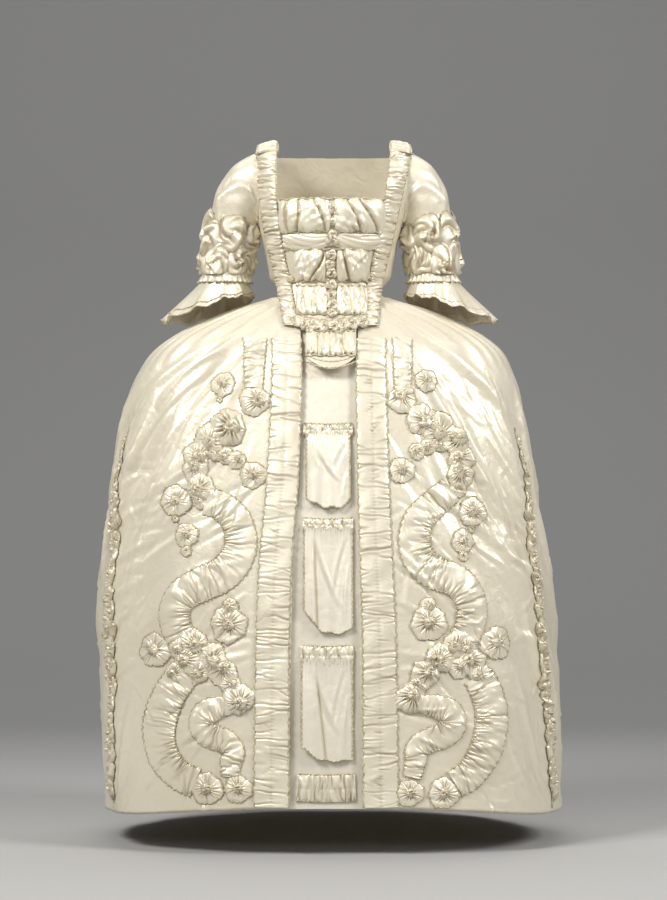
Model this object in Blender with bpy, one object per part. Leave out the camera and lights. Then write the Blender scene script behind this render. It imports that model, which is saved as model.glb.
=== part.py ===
"""Robe a la francaise over a panniered petticoat, worn shape, as hollow walls of cloth.

Metres, +Z up, the front faces -Y. The origin is the middle of the waist. Every panel is a wall of
cloth through sections worked out from the tables below, and every trim is made from the points of
the panel that it is sewn on, moved out by a small lift.
"""

import math

import bpy
import numpy as np

for old_object in list(bpy.data.objects):
    bpy.data.objects.remove(old_object, do_unlink=True)

CLOTH = 0.0015          # thickness of the silk panels
TRIM_CLOTH = 0.0025     # thickness of gathered trimmings at their edges
SEAM = 0.0004           # gap where two pieces are sewn edge to edge
TRIM_LIFT = 0.0012      # gap between a skirt panel and what lies on it
BODICE_TRIM_LIFT = 0.0022  # the same on the more strongly curved bodice
PETTICOAT_INSET = 0.010  # how far the petticoat lies inside the robe

# One row for each level of the body and skirt: half width at the sides, depth of the front, of the
# fitted back and of the loose sack back, squareness of the outline and of the sack, sideways lean.
LEVEL_COLUMNS = ("height", "half_width", "front", "back", "sack", "squareness", "sack_squareness",
                 "lean")
LEVELS = (
    (0.325, 0.170, 0.012, 0.070, 0.088, 2.1, 2.8, 0.006),
    (0.310, 0.170, 0.040, 0.080, 0.094, 2.1, 2.8, 0.006),
    (0.280, 0.169, 0.080, 0.090, 0.104, 2.1, 2.8, 0.006),
    (0.240, 0.168, 0.108, 0.100, 0.114, 2.1, 2.9, 0.005),
    (0.200, 0.160, 0.121, 0.105, 0.126, 2.1, 3.0, 0.001),
    (0.150, 0.150, 0.122, 0.104, 0.139, 2.1, 3.1, -0.002),
    (0.100, 0.138, 0.115, 0.102, 0.151, 2.1, 3.2, -0.003),
    (0.050, 0.129, 0.108, 0.100, 0.163, 2.1, 3.2, -0.003),
    (0.000, 0.1235, 0.105, 0.100, 0.175, 2.0, 3.2, -0.002),
    (-0.020, 0.195, 0.115, 0.115, 0.181, 2.0, 2.9, -0.002),
    (-0.045, 0.262, 0.130, 0.135, 0.189, 2.05, 2.7, -0.003),
    (-0.070, 0.315, 0.147, 0.155, 0.197, 2.1, 2.6, -0.005),
    (-0.100, 0.360, 0.165, 0.180, 0.208, 2.15, 2.5, -0.007),
    (-0.155, 0.400, 0.190, 0.215, 0.230, 2.2, 2.4, -0.012),
    (-0.225, 0.425, 0.212, 0.250, 0.260, 2.25, 2.35, -0.018),
    (-0.350, 0.450, 0.243, 0.300, 0.308, 2.3, 2.3, -0.018),
    (-0.500, 0.472, 0.270, 0.350, 0.357, 2.3, 2.3, -0.016),
    (-0.670, 0.491, 0.294, 0.395, 0.402, 2.3, 2.3, -0.011),
    (-0.850, 0.494, 0.312, 0.430, 0.437, 2.3, 2.3, -0.002),
    (-1.080, 0.490, 0.328, 0.465, 0.472, 2.3, 2.3, 0.006),
)
SKIRT_HEIGHTS = [row[0] for row in LEVELS if row[0] <= 0.0]
HEM_LEVEL = -1.080      # hem at the sides
HEM_FRONT_RISE = 0.035  # how much the hem lifts at the centre front
HEM_BACK_DROP = 0.025   # how much it trails at the centre back

# Soft folds that fall from the waist: where they start round the skirt (degrees from the centre
# front, + to +X), how far they drift by the hem, their width, depth and the level of their top.
# Columns: degrees, drift, width, depth, top.
FOLDS = (
    (-80, 2, 11, 0.012, -0.09),
    (-56, 12, 10, 0.007, -0.10),
    (36, 30, 10, 0.008, -0.09),
    (70, 10, 11, 0.012, -0.09),
    (110, 6, 8, 0.018, -0.12),
    (128, 5, 7, 0.016, -0.14),
    (147, 3, 6, 0.012, -0.20),
    (-112, -6, 8, 0.018, -0.12),
    (-130, -5, 7, 0.015, -0.14),
    (-148, -2, 6, 0.012, -0.20),
)

ARMHOLE = {"y": 0.012, "z": 0.235, "half_depth": 0.056, "half_height": 0.072}
SILK = (0.80, 0.74, 0.58, 1.0)
PETTICOAT_SILK = (0.84, 0.79, 0.66, 1.0)
TRIM_SILK = (0.82, 0.76, 0.60, 1.0)


def smooth_value(height, column):
    """One column of LEVELS at any height, along a curve through the rows."""
    heights = np.array([row[0] for row in LEVELS])[::-1]
    values = np.array([row[LEVEL_COLUMNS.index(column)] for row in LEVELS])[::-1]
    height = min(max(height, heights[0] - 0.04), heights[-1])
    slopes = np.gradient(values, heights)
    index = int(np.clip(np.searchsorted(heights, height) - 1, 0, len(heights) - 2))
    span = heights[index + 1] - heights[index]
    t = (height - heights[index]) / span
    start, end = values[index], values[index + 1]
    rise_in, rise_out = slopes[index] * span, slopes[index + 1] * span
    return ((2 * t**3 - 3 * t**2 + 1) * start + (t**3 - 2 * t**2 + t) * rise_in
            + (3 * t**2 - 2 * t**3) * end + (t**3 - t**2) * rise_out)


def table_value(table, height, column):
    """One column of a table of heights, straight between its rows."""
    rows = sorted(table)
    return float(np.interp(height, [row[0] for row in rows], [row[column] for row in rows]))


def outline_point(angle, height, back_column):
    """A point of the level outline. Angle 0 is the centre front, + turns towards +X."""
    across, forward = math.sin(angle), math.cos(angle)
    depth = smooth_value(height, "front" if forward >= 0 else back_column)
    loose = forward < 0 and back_column == "sack"
    squareness = smooth_value(height, "sack_squareness" if loose else "squareness")
    x = math.copysign(abs(across) ** (2 / squareness), across) * smooth_value(height, "half_width")
    y = -math.copysign(abs(forward) ** (2 / squareness), forward) * depth
    return np.array((x + smooth_value(height, "lean"), y, height))


def fold_depth(angle, height):
    """How far the soft folds push the cloth inwards here."""
    total = 0.0
    for degrees, drift, width, depth, top in FOLDS:
        if height >= top:
            continue
        down = (top - height) / (top - HEM_LEVEL)
        centre = math.radians(degrees + drift * down)
        turn = (angle - centre + math.pi) % (2 * math.pi) - math.pi
        total += depth * min(1.0, 3 * down) * math.exp(-(turn / math.radians(width)) ** 2)
    return total


def surface_point(angle, height, lift=0.0, back_column="sack"):
    """A point of the robe's outside, moved out by lift along the cloth's own normal."""
    base = outline_point(angle, height, back_column)
    round_way = (outline_point(angle + 0.02, height, back_column)
                 - outline_point(angle - 0.02, height, back_column))
    up_way = (outline_point(angle, min(height + 0.004, 0.325), back_column)
              - outline_point(angle, height - 0.004, back_column))
    normal = np.cross(round_way, up_way)
    normal /= np.linalg.norm(normal)
    return base + normal * (lift - fold_depth(angle, height))


def front_angle(x, height):
    """The angle of the front point at this x."""
    share = (x - smooth_value(height, "lean")) / smooth_value(height, "half_width")
    share = max(-0.999, min(0.999, share))
    return math.copysign(math.asin(abs(share) ** (smooth_value(height, "squareness") / 2)), share)


def front_point(x, height, lift=0.0):
    return surface_point(front_angle(x, height), height, lift)


def side_angle(y, height, side):
    """The angle of the side point at this y, side -1 or +1."""
    depth = smooth_value(height, "front" if y <= 0 else "sack")
    squareness = smooth_value(height, "squareness" if y <= 0 else "sack_squareness")
    share = min(0.999, abs(y) / depth) ** (squareness / 2)
    return side * (math.acos(share) if y <= 0 else math.pi - math.acos(share))


def hem_height(angle):
    """The hem's own level round the skirt."""
    forward = math.cos(angle)
    if forward > 0:
        return HEM_LEVEL + HEM_FRONT_RISE * forward**2.5
    return HEM_LEVEL - HEM_BACK_DROP * forward**2


def cloth_material(name, color):
    material = bpy.data.materials.new(name)
    material.use_nodes = True
    shader = material.node_tree.nodes["Principled BSDF"]
    shader.inputs["Base Color"].default_value = color
    shader.inputs["Roughness"].default_value = 0.4
    shader.inputs["Metallic"].default_value = 0.0
    return material


MATERIALS = {
    "silk_satin": cloth_material("silk_satin", SILK),
    "petticoat_satin": cloth_material("petticoat_satin", PETTICOAT_SILK),
    "gathered_trim": cloth_material("gathered_trim", TRIM_SILK),
}


def add_solid(name, outside, inside, material, round_tube=False):
    """A closed solid between two grids of points of the same size, rows by columns."""
    outside, inside = np.asarray(outside), np.asarray(inside)
    rows, columns = outside.shape[:2]
    layer = rows * columns
    points = np.concatenate((outside.reshape(-1, 3), inside.reshape(-1, 3)))

    def at(row, column, side):
        return side * layer + row * columns + column % columns

    faces = []
    last = columns if round_tube else columns - 1
    for row in range(rows - 1):
        for column in range(last):
            corners = ((row, column), (row, column + 1), (row + 1, column + 1), (row + 1, column))
            # Both sides of the wall are cut along the same diagonal, so they keep their distance.
            for picked in ((0, 1, 2), (0, 2, 3)):
                triangle = [corners[corner] for corner in picked]
                faces.append([at(r, c, 0) for r, c in triangle])
                faces.append([at(r, c, 1) for r, c in reversed(triangle)])
    for column in range(last):
        for row in (0, rows - 1):
            faces.append([at(row, column, 0), at(row, column, 1),
                          at(row, column + 1, 1), at(row, column + 1, 0)])
    if not round_tube:
        for row in range(rows - 1):
            for column in (0, columns - 1):
                faces.append([at(row, column, 0), at(row, column, 1),
                              at(row + 1, column, 1), at(row + 1, column, 0)])
    mesh = bpy.data.meshes.new(name)
    mesh.from_pydata([tuple(point) for point in points], [], faces)
    mesh.materials.append(MATERIALS[material])
    solid = bpy.data.objects.new(name, mesh)
    bpy.context.scene.collection.objects.link(solid)
    bpy.ops.object.select_all(action="DESELECT")
    solid.select_set(True)
    bpy.context.view_layer.objects.active = solid
    bpy.ops.object.mode_set(mode="EDIT")
    bpy.ops.mesh.select_all(action="SELECT")
    bpy.ops.mesh.normals_make_consistent(inside=False)
    bpy.ops.object.mode_set(mode="OBJECT")
    bpy.ops.object.shade_smooth_by_angle(angle=math.radians(50))
    return solid


def grid_normals(grid, round_tube):
    """The normal at each point of a grid, from its neighbours."""
    grid = np.asarray(grid)
    if round_tube:
        along = np.roll(grid, -1, axis=1) - np.roll(grid, 1, axis=1)
    else:
        along = np.gradient(grid, axis=1)
    down = np.gradient(grid, axis=0)
    normals = np.cross(along, down)
    return normals / np.linalg.norm(normals, axis=2, keepdims=True)


def panel(name, spots, material, lift=0.0, back_column="sack", round_tube=False, thickness=CLOTH):
    """A wall of cloth on the body's surface; spots are rows of angle and height."""
    outside = [[surface_point(*spot, lift, back_column) for spot in row] for row in spots]
    inside = [[surface_point(*spot, lift - thickness, back_column) for spot in row] for row in spots]
    add_solid(name, outside, inside, material, round_tube)


def cloth_wall(name, grid, material, thickness=CLOTH, round_tube=False, flip=False):
    """A wall of cloth whose outside is the grid; its inside is the thickness further in."""
    grid = np.asarray(grid)
    inward = grid_normals(grid, round_tube) * (-1 if flip else 1)
    return add_solid(name, grid, grid + inward * thickness, material, round_tube)


# ---- Petticoat: a full round skirt on the waist, under the robe -------------------------------

PETTICOAT_CLOTH = 0.0022    # the petticoat's satin and its lining
PETTICOAT_COLUMNS = 36
PETTICOAT_HEIGHTS = (0.0, -0.045, -0.100, -0.225, -0.425, -0.670, -1.080)


def petticoat():
    spots = []
    for height in PETTICOAT_HEIGHTS:
        angles = [2 * math.pi * column / PETTICOAT_COLUMNS for column in range(PETTICOAT_COLUMNS)]
        spots.append([(angle, height * hem_height(angle) / HEM_LEVEL - 0.002) for angle in angles])
    panel("petticoat", spots, "petticoat_satin", -PETTICOAT_INSET, "back", round_tube=True,
          thickness=PETTICOAT_CLOTH)


# ---- Robe skirts and sack back ------------------------------------------------------------

SIDE_SEAM_DEGREES = 100
SIDE_SEAM_GAP = 0.002   # half of the gap at the side seam, in radians
SKIRT_COLUMNS = 13
BACK_COLUMNS = 17
# The open front of the robe: height, and distance of the left and the right edge from the centre.
OPENING = (
    (0.000, 0.070, 0.064),
    (-0.155, 0.060, 0.051),
    (-0.400, 0.066, 0.052),
    (-0.540, 0.078, 0.057),
    (-1.080, 0.084, 0.064),
)


def opening_half_width(height, side):
    return table_value(OPENING, height, 1 if side < 0 else 2)


def robe_skirt(name, side):
    spots = []
    end = side * (math.radians(SIDE_SEAM_DEGREES) - SIDE_SEAM_GAP)
    for height in SKIRT_HEIGHTS:
        start = front_angle(side * opening_half_width(height, side), height)
        angles = np.linspace(start, end, SKIRT_COLUMNS)
        spots.append([(angle, height * hem_height(angle) / HEM_LEVEL - SEAM) for angle in angles])
    panel(name, spots, "silk_satin")


def armhole_reach(height):
    """Half the armhole's depth at this height, or 0 above and below it."""
    share = (height - ARMHOLE["z"]) / ARMHOLE["half_height"]
    return ARMHOLE["half_depth"] * math.sqrt(max(0.0, 1 - share**2))


BODICE_HEIGHTS = (0.310, 0.290, 0.262, 0.235, 0.205, 0.178, 0.150, 0.100, 0.050)
BACK_HEIGHTS = BODICE_HEIGHTS + tuple(SKIRT_HEIGHTS)
SHOULDER_SEAM_Y = 0.064


def robe_back():
    spots = []
    for height in BACK_HEIGHTS:
        edge = math.radians(SIDE_SEAM_DEGREES) + SIDE_SEAM_GAP
        if height == BODICE_HEIGHTS[0]:
            edge = side_angle(SHOULDER_SEAM_Y, height, 1)
        elif height > 0:
            edge = side_angle(ARMHOLE["y"] + armhole_reach(height) + 0.001, height, 1)
        row = []
        for angle in np.linspace(edge, 2 * math.pi - edge, BACK_COLUMNS):
            level = height if height > 0 else height * hem_height(angle) / HEM_LEVEL
            row.append((angle, level))
        spots.append(row)
    panel("robe_back", spots, "silk_satin")


# The two double box pleats of the sack, by height: distance of their middle from the centre back
# and half width of the lower and the upper box.
# Columns: height, middle, lower, upper, rise.
PLEATS = (
    (0.306, 0.034, 0.031, 0.021, 0.0050),
    (0.200, 0.036, 0.033, 0.023, 0.0060),
    (0.050, 0.041, 0.037, 0.027, 0.0075),
    (-0.100, 0.048, 0.042, 0.032, 0.0085),
    (-0.350, 0.060, 0.050, 0.040, 0.0085),
    (-0.700, 0.077, 0.062, 0.052, 0.0075),
    (-1.060, 0.094, 0.074, 0.063, 0.0060),
)
PLEAT_LIFT = 0.0052     # the pleats of a sack hang a little away from the back


def back_point(x, height, lift):
    half_width = smooth_value(height, "half_width")
    share = (x - smooth_value(height, "lean")) / half_width
    power = smooth_value(height, "sack_squareness") / 2
    turn = math.asin(math.copysign(abs(share) ** power, share))
    return surface_point(math.pi - turn, height, lift)


def sack_pleat(name, side):
    top, under = [], []
    for height in (PLEATS[0][0],) + BACK_HEIGHTS[1:-1] + (PLEATS[-1][0],):
        middle, lower, upper, rise = (table_value(PLEATS, height, column)
                                      for column in range(1, 5))
        offsets = (-lower, -upper - 0.002, -upper, upper, upper + 0.002, lower)
        rises = (0.0022, rise * 0.55, rise, rise, rise * 0.55, 0.0022)
        top.append([back_point(side * middle + offset, height, PLEAT_LIFT + step)
                    for offset, step in zip(offsets, rises)])
        under.append([back_point(side * middle + offset, height, PLEAT_LIFT) for offset in offsets])
    add_solid(name, top, under, "silk_satin")


# ---- Bodice ---------------------------------------------------------------------------------

# Line where bodice and stomacher meet under the robings: height, distance from the middle of the
# front, and how far that middle lies towards +X.
FRONT_EDGE = (
    (0.325, 0.120, 0.006),
    (0.205, 0.112, -0.001),
    (0.150, 0.117, -0.003),
    (0.100, 0.109, -0.004),
    (0.020, 0.090, -0.004),
    (-0.060, 0.079, -0.001),
)
# How the strap goes over the shoulder once it has left the front: y and height.
SHOULDER = ((-0.004, 0.3255), (0.020, 0.3310), (0.042, 0.3240), (0.0590, 0.3125))
SHOULDER_HALF_WIDTH = 0.024
SHOULDER_MIDDLE = 0.142
SHOULDER_SHIFT = 0.006
SHOULDER_CENTRE = (0.028, 0.286)
BODICE_COLUMNS = 6
FRONT_GAP = 0.0008      # half of the gap between bodice and stomacher


def front_edge_x(height, side, gap):
    """Where the edge of the bodice or, with a negative gap, of the stomacher lies."""
    away = table_value(FRONT_EDGE, height, 1) + gap
    return side * away + table_value(FRONT_EDGE, height, 2)


def shoulder_point(side, away, y, height, lift=0.0):
    """A point of the strap over the shoulder, away from the middle of the front."""
    outward = np.array((0.0, y - SHOULDER_CENTRE[0], height - SHOULDER_CENTRE[1]))
    base = np.array((side * away + SHOULDER_SHIFT, y, height - 0.2 * (away - SHOULDER_MIDDLE)))
    return base + outward / np.linalg.norm(outward) * lift


def bodice_front(name, side):
    grid = []
    for y, height in reversed(SHOULDER):
        aways = SHOULDER_MIDDLE + SHOULDER_HALF_WIDTH * np.linspace(-1, 1, BODICE_COLUMNS)
        grid.append([shoulder_point(side, away, y, height) for away in aways])
    for height in BODICE_HEIGHTS + (0.0015,):
        start = front_angle(front_edge_x(height, side, FRONT_GAP), height)
        end = side_angle(ARMHOLE["y"] - armhole_reach(height) - 0.001, height, side)
        grid.append([surface_point(angle, height)
                     for angle in np.linspace(start, end, BODICE_COLUMNS)])
    cloth_wall(name, grid, "silk_satin", flip=side < 0)


# The stomacher is stiff: its front runs on straight past the waist to a round point.
# Columns: height, depth, round width.
STOMACHER = (
    (0.205, 0.1203, 0.1610),
    (0.178, 0.1223, 0.1560),
    (0.150, 0.1220, 0.1500),
    (0.100, 0.1150, 0.1380),
    (0.050, 0.1085, 0.1300),
    (0.025, 0.1110, 0.1350),
    (0.000, 0.1165, 0.1500),
    (-0.022, 0.1255, 0.1720),
    (-0.046, 0.1400, 0.2000),
    (-0.075, 0.1575, 0.2200),
    (-0.100, 0.1730, 0.2400),
    (-0.125, 0.1880, 0.2700),
)
STOMACHER_SPREAD = 9
POINT_HALF_WIDTH = 0.052
POINT_DEPTH = 0.028     # how far the round point drops below the last level
STOMACHER_POWER = 2.1


def stiff_point(x, height, lift):
    """A point in front of the stomacher's own curve."""
    depth, width = (table_value(STOMACHER, height, column) for column in (1, 2))
    depth += 0.6 * max(0.0, STOMACHER[-1][0] - height)
    offset = x - smooth_value(max(height, 0.0), "lean")
    share = min(0.97, abs(offset) / width)
    y = -depth * (1 - share**STOMACHER_POWER) ** (1 / STOMACHER_POWER)
    outward = np.array((offset / width**2, y / depth**2, 0.0))
    return np.array((x, y, height)) + outward / np.linalg.norm(outward) * lift


def stomacher_point(across, height, lift):
    """A point on the stomacher; across runs -1 to +1 between its edges."""
    level = height
    if height < -0.10:
        level -= POINT_DEPTH * (-0.10 - height) / 0.025 * (1 - across**2)
    if height > -0.060:
        middle = table_value(FRONT_EDGE, height, 2)
        half_width = front_edge_x(height, 1, -FRONT_GAP) - middle
    else:
        middle, half_width = 0.0, POINT_HALF_WIDTH
    return stiff_point(middle + across * half_width, level, lift)


def stomacher():
    spread = np.linspace(-1, 1, STOMACHER_SPREAD)
    outside, inside = ([[stomacher_point(across, row[0], lift) for across in spread]
                        for row in STOMACHER] for lift in (0.0, -CLOTH))
    add_solid("stomacher", outside, inside, "silk_satin")


# Gathered rows of the stomacher from the neck down: top and bottom level, share of its width,
# puff height.
# Columns: name, top, bottom, reach, puff.
STOMACHER_ROWS = (
    ("stomacher_puffs_neck", 0.206, 0.138, 0.83, 0.014),
    ("stomacher_gathers", 0.135, 0.104, 0.80, 0.004),
    ("stomacher_puffs_bust", 0.101, 0.033, 0.80, 0.014),
    ("stomacher_puffs_middle", 0.030, -0.040, 0.78, 0.012),
    ("stomacher_waist_trim", -0.043, -0.068, 0.78, 0.006),
    ("stomacher_puffs_point", -0.075, -0.118, 0.94, 0.010),
)
ROW_STEPS = 9


def puff_row(name, top, bottom, reach, puff):
    spread = np.linspace(-reach, reach, ROW_STEPS)
    levels = (top, top - (top - bottom) / 3, bottom + (top - bottom) / 3, bottom)
    swell = (TRIM_CLOTH, puff, puff, TRIM_CLOTH)
    outside = [[stomacher_point(across, level, BODICE_TRIM_LIFT + rise) for across in spread]
               for level, rise in zip(levels, swell)]
    inside = [[stomacher_point(across, level, BODICE_TRIM_LIFT) for across in spread]
              for level in levels]
    add_solid(name, outside, inside, "gathered_trim")


# ---- Trims that follow a route on the front of the robe ------------------------------------

def smooth_route(points, stations):
    """Evenly spaced stations on a smooth curve through the route's points."""
    points = np.asarray(points, float)
    padded = np.vstack((2 * points[0] - points[1], points, 2 * points[-1] - points[-2]))
    dense = []
    for index in range(len(points) - 1):
        before, start, end, after = padded[index:index + 4]
        for t in np.linspace(0, 1, 16, endpoint=False):
            dense.append(0.5 * (2 * start + (end - before) * t
                                + (2 * before - 5 * start + 4 * end - after) * t**2
                                + (3 * start - before - 3 * end + after) * t**3))
    dense.append(points[-1])
    dense = np.array(dense)
    travelled = np.concatenate(((0,), np.cumsum(np.linalg.norm(np.diff(dense, axis=0), axis=1))))
    wanted = np.linspace(0, travelled[-1], stations)
    return np.stack([np.interp(wanted, travelled, dense[:, axis])
                     for axis in range(dense.shape[1])], axis=1)


def route_band(name, route, width, crown, step=0.042):
    """A gathered band sewn along a route; width may be one value or one for each end."""
    length = float(np.sum(np.linalg.norm(np.diff(np.asarray(route), axis=0), axis=1)))
    stations = max(3, int(round(length / step)) + 1)
    centres = smooth_route(route, stations)
    ways = np.gradient(centres, axis=0)
    ways /= np.linalg.norm(ways, axis=1, keepdims=True)
    widths = np.linspace(*(width if isinstance(width, tuple) else (width, width)), stations)
    outside, inside = [], []
    for centre, way, wide in zip(centres, ways, widths):
        sideways = np.array((-way[1], way[0])) * wide / 2
        spots = [centre - sideways, centre, centre + sideways]
        rises = (TRIM_CLOTH, crown, TRIM_CLOTH)
        outside.append([front_point(*spot, TRIM_LIFT + rise) for spot, rise in zip(spots, rises)])
        inside.append([front_point(*spot, TRIM_LIFT) for spot in spots])
    add_solid(name, outside, inside, "gathered_trim")


ROSETTE_SIDES = 10


def rosette(name, x, height, radius):
    """A gathered round rosette: a low dome sewn on the skirt."""
    outside, inside = [], []
    for share, rise in ((1.0, TRIM_CLOTH), (0.55, 0.008)):
        ring_out, ring_in = [], []
        for corner in range(ROSETTE_SIDES):
            turn = 2 * math.pi * corner / ROSETTE_SIDES
            spot = (x + radius * share * math.cos(turn), height + radius * share * math.sin(turn))
            ring_out.append(front_point(*spot, TRIM_LIFT + rise))
            ring_in.append(front_point(*spot, TRIM_LIFT))
        outside.append(ring_out)
        inside.append(ring_in)
    points = outside[0] + outside[1] + inside[0]
    points += [front_point(x, height, TRIM_LIFT + 0.005), front_point(x, height, TRIM_LIFT)]
    count = ROSETTE_SIDES
    faces = []
    for corner in range(count):
        after = (corner + 1) % count
        faces.append((corner, after, count + after, count + corner))
        faces.append((count + corner, count + after, 3 * count))
        faces.append((2 * count + corner, 2 * count + after, after, corner))
        faces.append((2 * count + after, 2 * count + corner, 3 * count + 1))
    mesh = bpy.data.meshes.new(name)
    mesh.from_pydata([tuple(point) for point in points], [], faces)
    mesh.materials.append(MATERIALS["gathered_trim"])
    solid = bpy.data.objects.new(name, mesh)
    bpy.context.scene.collection.objects.link(solid)
    bpy.context.view_layer.objects.active = solid
    bpy.ops.object.mode_set(mode="EDIT")
    bpy.ops.mesh.select_all(action="SELECT")
    bpy.ops.mesh.normals_make_consistent(inside=False)
    bpy.ops.object.mode_set(mode="OBJECT")


# Routes on the skirt, in the plane of the front: x and height, with the band's width.
LEFT_TRIMS = {
    "robing_left": (((-0.092, -0.088), (-0.092, -0.200), (-0.101, -0.400), (-0.113, -0.540),
                     (-0.119, -0.710), (-0.121, -1.046)), (0.056, 0.070), 0.006),
    "top_band_left": (((-0.158, -0.088), (-0.160, -0.182)), 0.044, 0.006),
    "puff_chain_left": (((-0.175, -0.240), (-0.215, -0.262), (-0.255, -0.290), (-0.276, -0.340),
                         (-0.274, -0.388)), 0.030, 0.010),
    "branch_left": (((-0.232, -0.318), (-0.196, -0.332)), 0.024, 0.009),
    "s_band_left": (((-0.262, -0.424), (-0.224, -0.435), (-0.195, -0.463), (-0.184, -0.506),
                     (-0.196, -0.546), (-0.226, -0.576), (-0.268, -0.596), (-0.306, -0.613),
                     (-0.322, -0.640), (-0.318, -0.673), (-0.302, -0.698)), 0.066, 0.007),
    "link_left": (((-0.276, -0.728), (-0.242, -0.750), (-0.220, -0.782), (-0.192, -0.824),
                   (-0.180, -0.842)), 0.042, 0.009),
    "c_band_left": (((-0.304, -0.778), (-0.332, -0.816), (-0.352, -0.860), (-0.358, -0.905),
                     (-0.345, -0.951), (-0.317, -0.982), (-0.284, -1.001)), 0.062, 0.007),
    "scroll_left": (((-0.246, -0.830), (-0.266, -0.848), (-0.262, -0.874), (-0.240, -0.898),
                     (-0.218, -0.920), (-0.200, -0.946), (-0.190, -0.976)), 0.044, 0.008),
}
RIGHT_TRIMS = {
    "robing_right": (((0.083, -0.088), (0.083, -0.200), (0.087, -0.400), (0.092, -0.540),
                      (0.098, -0.710), (0.101, -1.046)), (0.056, 0.070), 0.006),
    "top_band_right": (((0.148, -0.088), (0.148, -0.182)), 0.036, 0.006),
    "puff_chain_right": (((0.158, -0.238), (0.202, -0.262), (0.238, -0.282), (0.264, -0.310),
                          (0.268, -0.345), (0.266, -0.372)), 0.030, 0.010),
    "branch_right": (((0.222, -0.306), (0.176, -0.318)), 0.024, 0.009),
    "s_band_right": (((0.250, -0.402), (0.214, -0.428), (0.180, -0.463), (0.170, -0.506),
                      (0.182, -0.545), (0.212, -0.570), (0.248, -0.582), (0.277, -0.604),
                      (0.289, -0.640), (0.283, -0.674), (0.262, -0.700)), 0.064, 0.007),
    "link_right": (((0.252, -0.736), (0.208, -0.760), (0.179, -0.792), (0.158, -0.832)),
                   0.044, 0.009),
    "c_band_right": (((0.300, -0.782), (0.318, -0.815), (0.328, -0.850), (0.328, -0.890),
                      (0.313, -0.937), (0.288, -0.977), (0.258, -1.003)), 0.060, 0.007),
    "scroll_right": (((0.206, -0.826), (0.236, -0.838), (0.246, -0.872), (0.222, -0.900),
                      (0.193, -0.918), (0.172, -0.943), (0.162, -0.980)), 0.044, 0.008),
}
ROSETTES = (
    ("rosette_left_1", -0.224, -0.185, 0.026),
    ("rosette_left_2", -0.162, -0.369, 0.028),
    ("rosette_left_3", -0.336, -0.423, 0.027),
    ("rosette_left_4", -0.294, -0.499, 0.025),
    ("rosette_left_5", -0.212, -0.669, 0.035),
    ("rosette_left_6", -0.384, -0.729, 0.028),
    ("rosette_right_1", 0.199, -0.177, 0.024),
    ("rosette_right_2", 0.148, -0.365, 0.026),
    ("rosette_right_3", 0.297, -0.446, 0.026),
    ("rosette_right_4", 0.271, -0.510, 0.024),
    ("rosette_right_5", 0.200, -0.669, 0.035),
    ("rosette_right_6", 0.352, -0.714, 0.028),
)
# The serpentine trims near the sides: height, and degrees round from the centre front.
SIDE_TRIM = ((-0.300, 75), (-0.450, 72), (-0.560, 71), (-0.700, 69), (-0.830, 70), (-0.960, 73),
             (-1.055, 75))
SIDE_TRIM_WIDTH = 0.030


def side_trim(name, side):
    heights = np.linspace(SIDE_TRIM[0][0], SIDE_TRIM[-1][0], 18)
    outside, inside = [], []
    for height in heights:
        middle = math.radians(table_value(SIDE_TRIM, height, 1))
        half = SIDE_TRIM_WIDTH / 2 / 0.40
        angles = [side * (middle + half * across) for across in (-1, 0, 1)]
        rises = (TRIM_CLOTH, 0.006, TRIM_CLOTH)
        outside.append([surface_point(angle, height, TRIM_LIFT + rise)
                        for angle, rise in zip(angles, rises)])
        inside.append([surface_point(angle, height, TRIM_LIFT) for angle in angles])
    add_solid(name, outside, inside, "gathered_trim")


# Bodice robings, wide at the shoulder and narrow at the waist: height, distance from the middle
# of the front, width, and how far that middle lies towards +X.
BODICE_ROBING = (
    (0.310, 0.142, 0.044, 0.006),
    (0.205, 0.129, 0.041, -0.002),
    (0.150, 0.120, 0.037, -0.004),
    (0.100, 0.110, 0.034, -0.004),
    (0.025, 0.093, 0.031, -0.004),
    (-0.060, 0.082, 0.030, -0.001),
)
ROBING_HEIGHTS = (0.310, 0.290, 0.262, 0.235, 0.205, 0.178, 0.150, 0.100, 0.050, 0.025, 0.000,
                  -0.022, -0.046, -0.060)


def bodice_robing(name, side):
    spread = (-1, 0, 0.6, 1)    # inner edge to outer edge, closer where the chest turns away
    rises = (TRIM_CLOTH, 0.007, 0.006, TRIM_CLOTH)
    outside, inside = [], []
    for y, height in reversed(SHOULDER):
        aways = [SHOULDER_MIDDLE + across * 0.022 for across in spread]
        outside.append([shoulder_point(side, away, y, height, BODICE_TRIM_LIFT + rise)
                        for away, rise in zip(aways, rises)])
        inside.append([shoulder_point(side, away, y, height, BODICE_TRIM_LIFT) for away in aways])
    for height in ROBING_HEIGHTS:
        middle, width, shift = (table_value(BODICE_ROBING, height, column)
                                for column in (1, 2, 3))
        place = front_point if height > 0.04 else stiff_point
        xs = [side * (middle + across * width / 2) + shift for across in spread]
        outside.append([place(x, height, BODICE_TRIM_LIFT + rise) for x, rise in zip(xs, rises)])
        inside.append([place(x, height, BODICE_TRIM_LIFT) for x in xs])
    add_solid(name, outside, inside, "gathered_trim")


# ---- Petticoat flounces: top and bottom level, half width, gathered heading above -------------

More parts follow.
